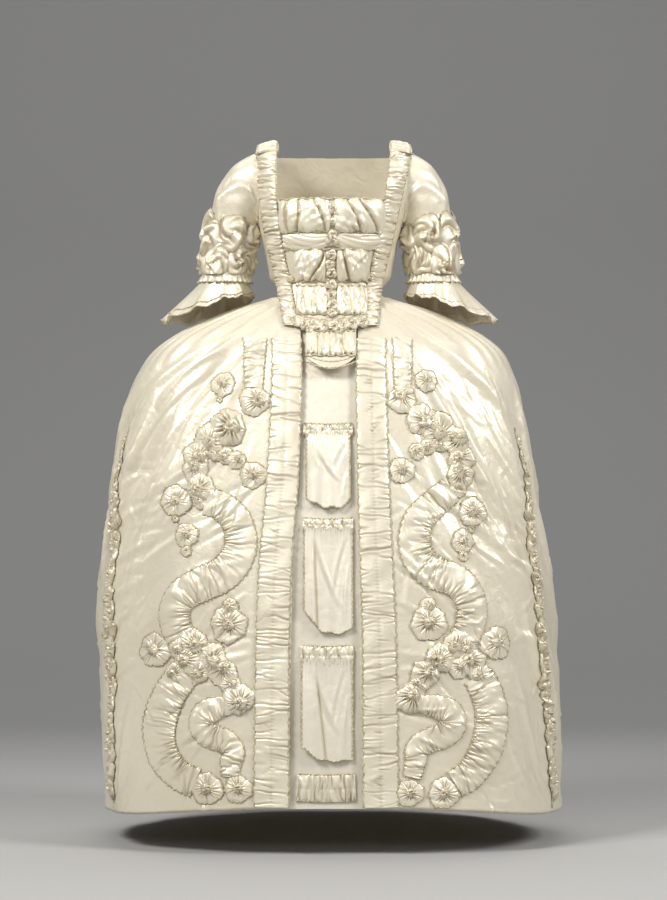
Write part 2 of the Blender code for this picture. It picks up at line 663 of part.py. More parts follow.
# Columns: name, top, bottom, corner, middle, half width.
FLOUNCES = (
    ("petticoat_flounce_1", -0.293, -0.437, 0.014, -0.006, 0.045),
    ("petticoat_flounce_2", -0.488, -0.664, 0.000, -0.006, 0.048),
    ("petticoat_flounce_3", -0.760, -0.930, 0.000, -0.008, 0.050),
)
HEADINGS = (
    ("petticoat_heading_1", -0.262, -0.290, -0.006, 0.051),
    ("petticoat_heading_2", -0.457, -0.485, -0.006, 0.052),
    ("petticoat_heading_3", -0.716, -0.757, -0.008, 0.054),
    ("petticoat_hem_band", -0.975, -1.032, -0.010, 0.060),
)
FLOUNCE_LEVELS = 5
FLOUNCE_SPREAD = 8


def petticoat_place(x, height, lift):
    return front_point(x, height, lift - PETTICOAT_INSET)


def flounce(name, top, bottom, corner, middle, half_width):
    """A gathered flounce that hangs free of the petticoat from its heading."""
    outside, inside = [], []
    for level in np.linspace(0, 1, FLOUNCE_LEVELS):
        row_out, row_in = [], []
        for across in np.linspace(-1, 1, FLOUNCE_SPREAD):
            height = top + (bottom - top) * level + corner * level * across**4
            flute = 0.0015 * level * math.cos(7 * across)
            lift = TRIM_LIFT + 0.003 * level + flute
            row_out.append(petticoat_place(middle + half_width * across, height, lift + CLOTH))
            row_in.append(petticoat_place(middle + half_width * across, height, lift))
        outside.append(row_out)
        inside.append(row_in)
    add_solid(name, outside, inside, "petticoat_satin")


def heading(name, top, bottom, middle, half_width):
    outside, inside = [], []
    for height, rise in ((top, TRIM_CLOTH), ((top + bottom) / 2, 0.006), (bottom, TRIM_CLOTH)):
        spread = np.linspace(-half_width, half_width, 6)
        outside.append([petticoat_place(middle + x, height, TRIM_LIFT + rise) for x in spread])
        inside.append([petticoat_place(middle + x, height, TRIM_LIFT) for x in spread])
    add_solid(name, outside, inside, "gathered_trim")


# ---- Sleeves: rings from the armhole to the elbow -----------------------------------------------

# Middle of each ring, its half widths across and front to back, and how far its plane leans out.
# Shift moves both sleeves towards +X, because the figure leans a little.
# Columns: x, y, z, across, deep, lean, shift.
SLEEVE = (
    (0.168, 0.010, 0.236, 0.067, 0.052, 83, 0.003),
    (0.183, 0.010, 0.228, 0.063, 0.054, 62, 0.002),
    (0.200, 0.010, 0.200, 0.055, 0.054, 32, 0.000),
    (0.209, 0.010, 0.155, 0.050, 0.052, 10, -0.002),
    (0.215, 0.008, 0.105, 0.047, 0.049, 4, -0.003),
    (0.222, 0.002, 0.050, 0.045, 0.046, 0, -0.004),
)
ELBOW_PUFF = (
    (0.212, 0.008, 0.138, 0.054, 0.056, 6, -0.003),
    (0.214, 0.008, 0.122, 0.060, 0.062, 5, -0.003),
    (0.217, 0.006, 0.090, 0.062, 0.066, 3, -0.003),
    (0.221, 0.003, 0.058, 0.060, 0.062, 0, -0.004),
    (0.223, 0.001, 0.040, 0.052, 0.053, 0, -0.004),
)
SLEEVE_SIDES = 14
CUFF_SIDES = 16


def sleeve_ring(side, row, sides):
    """The points of one ring round the arm; side is -1 or +1."""
    x, y, z, across, deep, lean, shift = row
    tilt = math.radians(lean)
    ring = []
    for corner in range(sides):
        turn = 2 * math.pi * corner / sides
        out = across * math.cos(turn)
        ring.append((side * (x + out * math.cos(tilt)) + shift,
                     y + deep * math.sin(turn),
                     z + out * math.sin(tilt)))
    return ring


def sleeve(name, side):
    grid = [sleeve_ring(side, row, SLEEVE_SIDES) for row in SLEEVE]
    cloth_wall(name, grid, "silk_satin", round_tube=True, flip=side > 0)


def elbow_puff(name, side):
    grid = [sleeve_ring(side, row, SLEEVE_SIDES) for row in ELBOW_PUFF]
    cloth_wall(name, grid, "gathered_trim", 0.002, round_tube=True, flip=side > 0)


# The winged cuff is short inside the arm and reaches out and back behind it.
CUFF = {"x": 0.223, "y": 0.001, "z": 0.036, "shift": -0.004, "radius": 0.051,
        "short": 0.030, "long": 0.118, "back_turn": 28}
CUFF_ROWS = 4


def winged_cuff(name, side):
    grid = []
    for level in np.linspace(0, 1, CUFF_ROWS):
        ring = []
        for corner in range(CUFF_SIDES):
            turn = 2 * math.pi * corner / CUFF_SIDES
            toward_tip = 0.5 + 0.5 * math.cos(turn - math.radians(CUFF["back_turn"]))
            length = CUFF["short"] + (CUFF["long"] - CUFF["short"]) * toward_tip**1.6
            slope = 0.25 + 0.50 * toward_tip
            out = CUFF["radius"] + length * level * slope
            drop = length * level * (1 - 0.28 * toward_tip)
            ring.append((side * (CUFF["x"] + out * math.cos(turn)) + CUFF["shift"],
                         CUFF["y"] + out * math.sin(turn), CUFF["z"] - drop))
        grid.append(ring)
    cloth_wall(name, grid, "silk_satin", round_tube=True, flip=side > 0)


petticoat()
for flounce_row in FLOUNCES:
    flounce(*flounce_row)
for heading_row in HEADINGS:
    heading(*heading_row)
robe_back()
stomacher()
for stomacher_row in STOMACHER_ROWS:
    puff_row(*stomacher_row)
for side_name, side_sign in (("left", -1), ("right", 1)):
    robe_skirt("robe_skirt_" + side_name, side_sign)
    bodice_front("bodice_front_" + side_name, side_sign)
    bodice_robing("bodice_robing_" + side_name, side_sign)
    sack_pleat("sack_pleat_" + side_name, side_sign)
    side_trim("side_trim_" + side_name, side_sign)
    sleeve("sleeve_" + side_name, side_sign)
    elbow_puff("elbow_puff_" + side_name, side_sign)
    winged_cuff("winged_cuff_" + side_name, side_sign)
for trim_name, (trim_route, trim_width, trim_crown) in (LEFT_TRIMS | RIGHT_TRIMS).items():
    route_band("skirt_" + trim_name, trim_route, trim_width, trim_crown)
for rosette_row in ROSETTES:
    rosette(*rosette_row)
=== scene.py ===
"""Looks of the robe a la francaise and its petticoat: ivory silk satin, gathered trims and gimp."""

import math

import bpy
import numpy as np
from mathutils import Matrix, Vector


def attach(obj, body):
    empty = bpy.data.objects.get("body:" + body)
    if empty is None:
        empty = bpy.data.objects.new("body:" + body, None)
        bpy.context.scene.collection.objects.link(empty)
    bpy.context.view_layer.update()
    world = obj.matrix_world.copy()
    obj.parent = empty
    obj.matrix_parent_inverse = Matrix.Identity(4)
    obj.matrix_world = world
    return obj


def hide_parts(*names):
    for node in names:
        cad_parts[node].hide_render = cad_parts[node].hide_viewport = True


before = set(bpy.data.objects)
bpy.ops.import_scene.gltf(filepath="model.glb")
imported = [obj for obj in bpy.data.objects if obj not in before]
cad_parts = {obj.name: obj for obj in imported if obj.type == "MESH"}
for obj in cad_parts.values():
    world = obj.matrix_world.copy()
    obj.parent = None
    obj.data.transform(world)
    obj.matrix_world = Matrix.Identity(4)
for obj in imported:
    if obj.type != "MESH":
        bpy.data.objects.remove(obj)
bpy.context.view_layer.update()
bpy.ops.object.select_all(action="DESELECT")

# ---- Front skirts of the robe --------------------------------------------------------------
# Two panels of ivory silk satin, gathered into the waist over wide panniers and open in front.
# The cloth is firm and glossy: it falls in broad soft folds with sharp little creases between.

# Height, half width, depth of the front, of the fitted back and of the sack, squareness of the
# outline and of the sack, sideways lean.
LEVELS = np.array((
    (0.325, 0.170, 0.012, 0.070, 0.088, 2.1, 2.8, 0.006),
    (0.310, 0.170, 0.040, 0.080, 0.094, 2.1, 2.8, 0.006),
    (0.280, 0.169, 0.080, 0.090, 0.104, 2.1, 2.8, 0.006),
    (0.240, 0.168, 0.108, 0.100, 0.114, 2.1, 2.9, 0.005),
    (0.200, 0.160, 0.121, 0.105, 0.126, 2.1, 3.0, 0.001),
    (0.150, 0.150, 0.122, 0.104, 0.139, 2.1, 3.1, -0.002),
    (0.100, 0.138, 0.115, 0.102, 0.151, 2.1, 3.2, -0.003),
    (0.050, 0.129, 0.108, 0.100, 0.163, 2.1, 3.2, -0.003),
    (0.000, 0.1235, 0.105, 0.100, 0.175, 2.0, 3.2, -0.002),
    (-0.020, 0.195, 0.115, 0.115, 0.181, 2.0, 2.9, -0.002),
    (-0.045, 0.262, 0.130, 0.135, 0.189, 2.05, 2.7, -0.003),
    (-0.070, 0.315, 0.147, 0.155, 0.197, 2.1, 2.6, -0.005),
    (-0.100, 0.360, 0.165, 0.180, 0.208, 2.15, 2.5, -0.007),
    (-0.155, 0.400, 0.190, 0.215, 0.230, 2.2, 2.4, -0.012),
    (-0.225, 0.425, 0.212, 0.250, 0.260, 2.25, 2.35, -0.018),
    (-0.350, 0.450, 0.243, 0.300, 0.308, 2.3, 2.3, -0.018),
    (-0.500, 0.472, 0.270, 0.350, 0.357, 2.3, 2.3, -0.016),
    (-0.670, 0.491, 0.294, 0.395, 0.402, 2.3, 2.3, -0.011),
    (-0.850, 0.494, 0.312, 0.430, 0.437, 2.3, 2.3, -0.002),
    (-1.080, 0.490, 0.328, 0.465, 0.472, 2.3, 2.3, 0.006),
))
WIDTH, FRONT, BACK, SACK, SQUARE, SACK_SQUARE, LEAN = range(1, 8)
HEM_LEVEL, HEM_FRONT_RISE, HEM_BACK_DROP = -1.080, 0.035, 0.025

# The largest folds: degrees round from the centre front at the top, drift by the hem, width in
# degrees, depth and top level.
BROAD_FOLDS = (
    (-80, 2, 11, 0.012, -0.09), (-56, 12, 10, 0.007, -0.10), (36, 30, 10, 0.008, -0.09),
    (70, 10, 11, 0.012, -0.09), (110, 6, 8, 0.018, -0.12), (128, 5, 7, 0.016, -0.14),
    (147, 3, 6, 0.012, -0.20), (-112, -6, 8, 0.018, -0.12), (-130, -5, 7, 0.015, -0.14),
    (-148, -2, 6, 0.012, -0.20),
)


def level_value(height, column):
    """One column of the levels at any height, along a smooth curve."""
    heights, values = LEVELS[::-1, 0], LEVELS[::-1, column]
    slopes = np.gradient(values, heights)
    height = np.clip(height, heights[0] - 0.04, heights[-1])
    index = np.clip(np.searchsorted(heights, height) - 1, 0, len(heights) - 2)
    span = heights[index + 1] - heights[index]
    t = (height - heights[index]) / span
    return ((2 * t**3 - 3 * t**2 + 1) * values[index] + (t**3 - 2 * t**2 + t) * slopes[index] * span
            + (3 * t**2 - 2 * t**3) * values[index + 1] + (t**3 - t**2) * slopes[index + 1] * span)


def outline(angle, height, back):
    """Points of the plain outline; angle 0 is the centre front and + turns towards +X."""
    across, forward = np.sin(angle), np.cos(angle)
    behind = forward < 0
    depth = np.where(behind, level_value(height, back), level_value(height, FRONT))
    square = np.where(behind & (back == SACK), level_value(height, SACK_SQUARE),
                      level_value(height, SQUARE))
    x = np.sign(across) * np.abs(across) ** (2 / square) * level_value(height, WIDTH)
    y = -np.sign(forward) * np.abs(forward) ** (2 / square) * depth
    return np.stack((x + level_value(height, LEAN), y, height + 0 * x), axis=-1)


def broad_fold_depth(angle, height):
    total = 0.0 * angle
    for degrees, drift, width, depth, top in BROAD_FOLDS:
        down = np.clip((top - height) / (top - HEM_LEVEL), 0, None)
        turn = (angle - np.radians(degrees + drift * down) + np.pi) % (2 * np.pi) - np.pi
        total = total + depth * np.minimum(1, 3 * down) * np.exp(-(turn / np.radians(width)) ** 2)
    return total


def unit(vectors):
    return vectors / np.maximum(np.linalg.norm(vectors, axis=-1, keepdims=True), 1e-9)


def gown_point(angle, height, lift=0.0, back=SACK):
    """Points of the gown's outside, moved out by lift along the cloth's own normal."""
    angle, height = np.broadcast_arrays(np.asarray(angle, float), np.asarray(height, float))
    round_way = outline(angle + 0.02, height, back) - outline(angle - 0.02, height, back)
    up_way = (outline(angle, np.minimum(height + 0.004, 0.325), back)
              - outline(angle, height - 0.004, back))
    out = np.asarray(lift - broad_fold_depth(angle, height))[..., None]
    return outline(angle, height, back) + unit(np.cross(round_way, up_way)) * out


def front_angle(x, height):
    share = np.clip((x - level_value(height, LEAN)) / level_value(height, WIDTH), -0.999, 0.999)
    return np.sign(share) * np.arcsin(np.abs(share) ** (level_value(height, SQUARE) / 2))


def hem_share(angle):
    """How long the skirt is here, as a share of its length at the sides."""
    forward = np.cos(angle)
    rise = np.where(forward > 0, HEM_FRONT_RISE * np.abs(forward) ** 2.5,
                    -HEM_BACK_DROP * forward**2)
    return (HEM_LEVEL + rise) / HEM_LEVEL


def relief(round_way, height, creases):
    """Soft ridges with a trough beside them; each crease runs from one place to another."""
    total = 0.0 * round_way
    for s0, z0, s1, z1, width, depth in creases:
        length = math.hypot(s1 - s0, z1 - z0)
        along = ((round_way - s0) * (s1 - s0) + (height - z0) * (z1 - z0)) / length**2
        beside = ((round_way - s0) * (z1 - z0) - (height - z0) * (s1 - s0)) / length
        beside = beside + 0.12 * length * (along - 0.5) ** 2
        swell = np.clip(1 - (2 * along - 1) ** 2, 0, 1) ** 0.7
        ridge = np.exp(-(beside / width) ** 2)
        trough = np.exp(-((beside - 1.8 * width) / (1.3 * width)) ** 2)
        total = total + depth * swell * (ridge - 0.6 * trough)
    return total


def crumples(seed, count, place_box, lean, spread, lengths, widths, depths):
    """Many small uneven creases inside a box of the cloth, leaning about one way."""
    pick = np.random.default_rng(seed)
    rows = []
    for _ in range(count):
        s, z = pick.uniform(place_box[0], place_box[1]), pick.uniform(place_box[2], place_box[3])
        turn = math.radians(pick.normal(lean, spread))
        share = pick.beta(1.3, 3.0)
        length = lengths[0] + (lengths[1] - lengths[0]) * share
        width = widths[0] + (widths[1] - widths[0]) * pick.uniform(0, 1) * (0.4 + 0.6 * share)
        depth = (depths[0] + (depths[1] - depths[0]) * share) * pick.choice((-1, 1))
        rows.append((s, z, s + length * math.sin(turn), z - length * math.cos(turn), width, depth))
    return rows


GIRTH = 0.47            # metres of cloth for one radian round the skirt
# Main creases of each side: where they start and end (metres round from the centre front, and
# height), width and depth.
LEFT_CREASES = (
    (-0.150, -0.075, -0.330, -0.300, 0.016, 0.006), (-0.230, -0.062, -0.440, -0.225, 0.014, 0.009),
    (-0.235, -0.040, -0.600, -0.250, 0.016, 0.006), (-0.160, -0.130, -0.230, -0.420, 0.012, -0.004),
    (-0.265, -0.105, -0.385, -0.170, 0.007, 0.005), (-0.245, -0.112, -0.370, -0.290, 0.015, -0.007),
    (-0.300, -0.160, -0.440, -0.470, 0.014, 0.006), (-0.420, -0.210, -0.560, -0.560, 0.016, -0.006),
    (-0.350, -0.320, -0.470, -0.640, 0.010, 0.004), (-0.500, -0.400, -0.580, -0.800, 0.014, 0.005),
    (-0.460, -0.336, -0.530, -0.385, 0.012, -0.006), (-0.560, -0.562, -0.370, -0.508, 0.008, 0.005),
    (-0.240, -0.470, -0.430, -0.560, 0.007, 0.003), (-0.400, -0.560, -0.520, -0.760, 0.009, 0.004),
    (-0.560, -0.713, -0.440, -0.650, 0.007, 0.004), (-0.560, -0.640, -0.400, -0.590, 0.009, 0.004),
    (-0.560, -0.620, -0.620, -1.000, 0.014, 0.005), (-0.440, -0.820, -0.540, -1.040, 0.010, 0.004),
    (-0.200, -0.500, -0.160, -0.640, 0.006, 0.002), (-0.170, -0.700, -0.230, -0.760, 0.006, 0.002),
    (-0.540, -0.800, -0.400, -0.745, 0.008, 0.004), (-0.640, -0.180, -0.700, -0.600, 0.016, 0.006),
)
RIGHT_CREASES = (
    (0.150, -0.075, 0.270, -0.330, 0.015, 0.007), (0.170, -0.095, 0.430, -0.480, 0.015, 0.011),
    (0.270, -0.160, 0.430, -0.420, 0.010, -0.005), (0.220, -0.050, 0.620, -0.300, 0.018, 0.007),
    (0.330, -0.260, 0.560, -0.640, 0.012, 0.006), (0.400, -0.380, 0.520, -0.640, 0.008, -0.004),
    (0.300, -0.460, 0.470, -0.560, 0.008, 0.003), (0.450, -0.640, 0.560, -0.880, 0.011, 0.005),
    (0.520, -0.560, 0.620, -0.980, 0.014, -0.005), (0.400, -0.780, 0.500, -1.010, 0.010, 0.004),
    (0.170, -0.500, 0.130, -0.650, 0.006, 0.002), (0.200, -0.250, 0.260, -0.430, 0.008, 0.004),
    (0.620, -0.180, 0.700, -0.600, 0.016, 0.006), (0.350, -0.900, 0.440, -1.040, 0.008, 0.003),
    (0.560, -0.590, 0.400, -0.530, 0.008, 0.004), (0.560, -0.740, 0.420, -0.690, 0.008, 0.004),
)
GATHER_LEVEL = -0.190   # the cloth's gathers at the waist fade out above this level
CREASES = {
    side: main_creases
    + tuple(crumples(11 + side, 230, sorted((0.10 * side, 0.72 * side)) + [-1.05, -0.36],
                     62 * side, 26, (0.030, 0.150), (0.0026, 0.0066), (0.0010, 0.0042)))
    + tuple(crumples(21 + side, 60, sorted((0.12 * side, 0.70 * side)) + [-0.45, -0.14],
                     38 * side, 16, (0.080, 0.300), (0.0050, 0.0120), (0.0010, 0.0040)))
    for side, main_creases in ((-1, LEFT_CREASES), (1, RIGHT_CREASES))
}


def swells(round_way, height, seed, deep):
    """Low uneven waves of the cloth, from a few plain waves that cross one another."""
    pick = np.random.default_rng(seed)
    total = 0.0 * round_way
    for _ in range(7):
        way, length = pick.uniform(0.15, 1.25), pick.uniform(0.06, 0.20)
        across = np.abs(round_way) * math.cos(way) + height * math.sin(way)
        total = total + length * np.sin(2 * np.pi * across / length + pick.uniform(0, 6))
    return deep * total


SIDE_SEAM = math.radians(100)


def skirt_relief(angle, height):
    """Creases and waist gathers of the robe's skirts; they die out at the side seams."""
    round_way = angle * GIRTH
    total = np.where(angle < 0, relief(round_way, height, CREASES[-1]),
                     relief(round_way, height, CREASES[1]))
    gathers = np.clip((height - GATHER_LEVEL) / -GATHER_LEVEL, 0, 1) ** 1.6
    away = np.clip((np.abs(angle) - 0.35) / 0.3, 0, 1)
    ripple = np.sin(angle * 37 + 2.0 * np.sin(angle * 5) + height * 9)
    loose = np.clip((-0.12 - height) / 0.25, 0, 1) * np.clip((np.abs(angle) - 0.2) / 0.2, 0, 1)
    waves = swells(round_way, height, 4, 0.0085) * loose
    at_seam = np.clip((SIDE_SEAM - np.abs(angle)) / 0.12, 0, 1)
    return (total + waves + 0.0042 * gathers * away * ripple) * at_seam


def skirt_point(angle, height, lift=0.0):
    return gown_point(angle, height, lift + skirt_relief(np.asarray(angle), np.asarray(height)))


def on_skirt(x, height, lift):
    """A place on the front of the robe, given as seen from the front."""
    return skirt_point(front_angle(x, height), height, lift)


# One silk for everything: a satin with its warp lines, soft small dents and fine crumples that
# lean away from the middle of the front. Its colour is painted darker in the tucks and grooves,
# a painted shade where the folds hide the light, and it is a little yellowed in patches; both
# mix towards the same tan colour.
silk = bpy.data.node_groups.new("silk_surface", "ShaderNodeTree")
for socket_name, socket_type, in_out in (
        ("Cloth", "NodeSocketColor", "INPUT"), ("Shade_and_yellowing", "NodeSocketColor", "INPUT"),
        ("Dents", "NodeSocketFloat", "INPUT"), ("Gloss", "NodeSocketFloat", "INPUT"),
        ("Color", "NodeSocketColor", "OUTPUT"), ("Roughness", "NodeSocketFloat", "OUTPUT"),
        ("Normal", "NodeSocketVector", "OUTPUT")):
    silk.interface.new_socket(socket_name, in_out=in_out, socket_type=socket_type)


def set_inputs(node, *values):
    for key, value in values:
        node.inputs[key].default_value = value


def add_node(tree, kind, values=(), **settings):
    node = tree.nodes.new(kind)
    for key, value in settings.items():
        setattr(node, key, value)
    set_inputs(node, *values)
    return node


def wire(tree, *pairs):
    for start, end in pairs:
        tree.links.new(start, end)


given = add_node(silk, "NodeGroupInput")
result = add_node(silk, "NodeGroupOutput")
spot = add_node(silk, "ShaderNodeTexCoord")
# Painted shade: each mesh carries a mask of how deep its points lie in tucks, grooves and under
# folds.
painted_shade_mask = add_node(silk, "ShaderNodeAttribute", attribute_name="painted_shade")
patches = add_node(silk, "ShaderNodeTexNoise", (("Scale", 5.0), ("Detail", 3.0)))
patch_range = add_node(silk, "ShaderNodeMapRange", (("From Min", 0.35), ("From Max", 0.75),
                                                    ("To Min", 0.0), ("To Max", 0.22)))
# The painted shade of the tucks and the yellowed patches, added into one mix towards the tan colour.
add_shade_and_yellowing = add_node(silk, "ShaderNodeMath", operation="ADD", use_clamp=True)
blend_color = add_node(silk, "ShaderNodeMix", data_type="RGBA")
warp = add_node(silk, "ShaderNodeTexWave", (("Scale", 420.0), ("Distortion", 1.5),
                                            ("Detail", 2.0)), bands_direction="X")
dents = add_node(silk, "ShaderNodeTexNoise", (("Scale", 34.0), ("Detail", 3.5),
                                              ("Roughness", 0.55), ("Distortion", 0.9)))
slubs = add_node(silk, "ShaderNodeTexNoise", (("Scale", 260.0), ("Detail", 2.0)))
stretch = add_node(silk, "ShaderNodeMapping", (("Scale", (1.0, 1.0, 0.25)),))
warp_bump = add_node(silk, "ShaderNodeBump", (("Strength", 0.06), ("Distance", 0.0004)))
dent_bump = add_node(silk, "ShaderNodeBump", (("Strength", 0.5), ("Distance", 0.0030)))
split = add_node(silk, "ShaderNodeSeparateXYZ")
fold_over = add_node(silk, "ShaderNodeMath", operation="ABSOLUTE")
mirrored = add_node(silk, "ShaderNodeCombineXYZ")
lean = add_node(silk, "ShaderNodeMapping", (("Rotation", (0.0, -0.85, 0.0)),
                                            ("Scale", (1.0, 1.0, 2.8))), vector_type="TEXTURE")
crumple = add_node(silk, "ShaderNodeTexNoise", (("Scale", 15.0), ("Detail", 3.0),
                                                ("Roughness", 0.45), ("Distortion", 0.7)),
                   noise_type="RIDGED_MULTIFRACTAL")
crumple_bump = add_node(silk, "ShaderNodeBump", (("Strength", 0.3), ("Distance", 0.0045)))
dull = add_node(silk, "ShaderNodeMapRange", (("From Min", 0.3), ("From Max", 0.7),
                                             ("To Min", -0.04), ("To Max", 0.07)))
rough_sum = add_node(silk, "ShaderNodeMath", operation="ADD")
wire(silk, (spot.outputs["Object"], patches.inputs["Vector"]),
     (patches.outputs["Fac"], patch_range.inputs["Value"]),
     (painted_shade_mask.outputs["Fac"], add_shade_and_yellowing.inputs[0]),
     (patch_range.outputs["Result"], add_shade_and_yellowing.inputs[1]),
     (add_shade_and_yellowing.outputs[0], blend_color.inputs["Factor"]),
     (given.outputs["Cloth"], blend_color.inputs["A"]),
     (given.outputs["Shade_and_yellowing"], blend_color.inputs["B"]),
     (blend_color.outputs["Result"], result.inputs["Color"]),
     (spot.outputs["UV"], warp.inputs["Vector"]),
     (spot.outputs["Object"], dents.inputs["Vector"]),
     (spot.outputs["Object"], stretch.inputs["Vector"]),
     (stretch.outputs["Vector"], slubs.inputs["Vector"]),
     (slubs.outputs["Fac"], dull.inputs["Value"]),
     (given.outputs["Gloss"], rough_sum.inputs[0]), (dull.outputs["Result"], rough_sum.inputs[1]),
     (rough_sum.outputs[0], result.inputs["Roughness"]),
     (warp.outputs["Fac"], warp_bump.inputs["Height"]),
     (dents.outputs["Fac"], dent_bump.inputs["Height"]),
     (given.outputs["Dents"], dent_bump.inputs["Strength"]),
     (warp_bump.outputs["Normal"], dent_bump.inputs["Normal"]),
     (spot.outputs["Object"], split.inputs["Vector"]),
     (split.outputs["X"], fold_over.inputs[0]), (fold_over.outputs[0], mirrored.inputs["X"]),
     (split.outputs["Y"], mirrored.inputs["Y"]), (split.outputs["Z"], mirrored.inputs["Z"]),
     (mirrored.outputs["Vector"], lean.inputs["Vector"]),
     (lean.outputs["Vector"], crumple.inputs["Vector"]),
     (crumple.outputs["Fac"], crumple_bump.inputs["Height"]),
     (given.outputs["Dents"], crumple_bump.inputs["Strength"]),
     (dent_bump.outputs["Normal"], crumple_bump.inputs["Normal"]),
     (crumple_bump.outputs["Normal"], result.inputs["Normal"]))


def silk_material(name, cloth, painted_shade, dents_strength, roughness):
    material = bpy.data.materials.new(name)
    material.use_nodes = True
    tree = material.node_tree
    shader = tree.nodes["Principled BSDF"]
    set_inputs(shader, ("Metallic", 0.24), ("Sheen Weight", 0.10), ("Sheen Roughness", 0.4),
               ("Specular IOR Level", 0.62), ("Anisotropic", 0.35))
    # The second colour paints shade in the tucks and also tints the yellowed patches.
    surface = add_node(tree, "ShaderNodeGroup", (("Cloth", cloth), ("Shade_and_yellowing", painted_shade),
                                                 ("Dents", dents_strength),
                                                 ("Gloss", roughness)), node_tree=silk)
    wire(tree, (surface.outputs["Color"], shader.inputs["Base Color"]),
         (surface.outputs["Roughness"], shader.inputs["Roughness"]),
         (surface.outputs["Normal"], shader.inputs["Normal"]))
    return material


# Ivory satin, with a tan colour for its painted shade in the tucks, also used for its yellowed
# patches.
robe_satin = silk_material("robe_satin", (0.83, 0.765, 0.615, 1), (0.54, 0.46, 0.31, 1), 0.55, 0.35)


def patch(points, along, across, painted_shade=0.0, closed=False):
    """A grid of cloth with its own measure along and across, and how much its colour is painted
    darker as shade in a tuck.
    """
    painted_shade = np.broadcast_to(np.asarray(painted_shade, float), points.shape[:2])
    along, across = np.broadcast_arrays(along, across)
    return {"points": points, "along": along, "across": across, "painted_shade": painted_shade, "closed": closed}


def sew(name, cloth_patches, material, nodes=(), flat=None,
        thickness=0.0):
    """One mesh piece from patches of cloth, riding on the gown."""
    points, faces, uvs, painted_shades, start = [], [], [], [], 0
    for cloth in cloth_patches:
        rows, columns = cloth["points"].shape[:2]
        grid = np.arange(rows * columns).reshape(rows, columns) + start
        if cloth["closed"]:
            grid = np.concatenate((grid, grid[:, :1]), axis=1)
        quads = np.stack((grid[:-1, :-1], grid[:-1, 1:], grid[1:, 1:], grid[1:, :-1]), axis=-1)
        faces.append(quads.reshape(-1, 4))
        points.append(cloth["points"].reshape(-1, 3))
        uvs.append(np.stack((cloth["along"], cloth["across"]), axis=-1).reshape(-1, 2))
        painted_shades.append(cloth["painted_shade"].reshape(-1))
        start += rows * columns
    points, faces = np.concatenate(points), np.concatenate(faces)
    uvs, painted_shades = np.concatenate(uvs), np.concatenate(painted_shades)
    mesh = bpy.data.meshes.new(name)
    mesh.from_pydata(points.tolist(), [], faces.tolist())
    layer = mesh.uv_layers.new(name="cloth")
    layer.data.foreach_set("uv", uvs[faces.reshape(-1)].reshape(-1))
    # The mask of painted shade in the tucks, which the silk's colour reads.
    mesh.attributes.new("painted_shade", "FLOAT", "POINT").data.foreach_set("value", painted_shades)
    mesh.polygons.foreach_set("use_smooth", np.ones(len(faces), bool))
    mesh.materials.append(material)
    piece = bpy.data.objects.new(name, mesh)
    bpy.context.scene.collection.objects.link(piece)
    if thickness:
        wall = piece.modifiers.new("cloth thickness", "SOLIDIFY")
        wall.thickness, wall.offset = thickness, -1.0
    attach(piece, "root")
    if nodes:
        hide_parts(*nodes)
    return piece


HEM_TURN, HEM_BEHIND = 0.025, 0.0022


def hemmed_patch(place, angle, height):
    """A panel of cloth whose hem is turned up behind it."""
    turned = [place(angle[-1], height[-1] + up, -HEM_BEHIND) for up in (0.0005, HEM_TURN)]
    points = np.concatenate((place(angle, height), turned))
    along = np.concatenate((height, height[-1:] - 0.01, height[-1:] - 0.01 - HEM_TURN))
    across = np.concatenate((angle, angle[-1:], angle[-1:])) * GIRTH
    return patch(points, across, along)


SEAM_GAP = 0.0004       # angle left open on each side of a side seam
SKIRT_GRID = (216, 160)
# Open front of the robe: height, and distance of the left and the right edge from the centre.
OPENING = ((-1.080, 0.084, 0.064), (-0.540, 0.078, 0.057), (-0.400, 0.066, 0.052),
           (-0.155, 0.060, 0.051), (0.000, 0.070, 0.064))


def from_rows(table, height, column):
    table = np.array(sorted(table))
    return np.interp(height, table[:, 0], table[:, column])


def robe_skirt(side_name, side):
    rows, columns = SKIRT_GRID
    down = np.linspace(0, 1, rows)[:, None] ** 1.25 * HEM_LEVEL
    edge = from_rows(OPENING, down, 1 if side < 0 else 2) * side
    start = front_angle(edge, down)
    angle = start + (side * (SIDE_SEAM - SEAM_GAP) - start) * np.linspace(0, 1, columns)[None, :]
    sew("satin_skirt_" + side_name, [hemmed_patch(skirt_point, angle, down * hem_share(angle))],
        robe_satin, ("robe_skirt_" + side_name,), (0.80, 1.12))


robe_skirt("left", -1)
robe_skirt("right", 1)

# ---- Petticoat ---------------------------------------------------------------------------------
# A full round skirt of a slightly whiter satin, gathered on a tape at the waist under the robe;
# only its front shows, between the robe's open edges.

# Whiter satin, with a tan colour for its painted shade in the tucks, also used for its yellowed
# patches.
petticoat_satin = silk_material("petticoat_satin", (0.83, 0.775, 0.645, 1), (0.58, 0.51, 0.38, 1),
                                0.40, 0.40)
PETTICOAT_INSET = 0.010
PETTICOAT_CREASES = (
    (-0.060, -0.160, -0.020, -0.280, 0.006, 0.0016), (0.050, -0.170, 0.010, -0.300, 0.007, 0.0018),
    (-0.010, -0.440, 0.050, -0.470, 0.005, 0.0012), (0.060, -0.500, 0.045, -0.700, 0.006, 0.0016),
    (-0.050, -0.690, 0.030, -0.700, 0.005, 0.0014), (0.030, -0.800, 0.060, -0.960, 0.007, 0.0020),
    (0.000, -0.180, 0.000, -0.250, 0.008, 0.0012),
)


def petticoat_point(angle, height, lift=0.0):
    dents = relief(np.asarray(angle) * GIRTH, np.asarray(height), PETTICOAT_CREASES)
    return gown_point(angle, height, lift + dents - PETTICOAT_INSET, BACK)


def on_petticoat(x, height, lift):
    return petticoat_point(front_angle(x, height), height, lift)


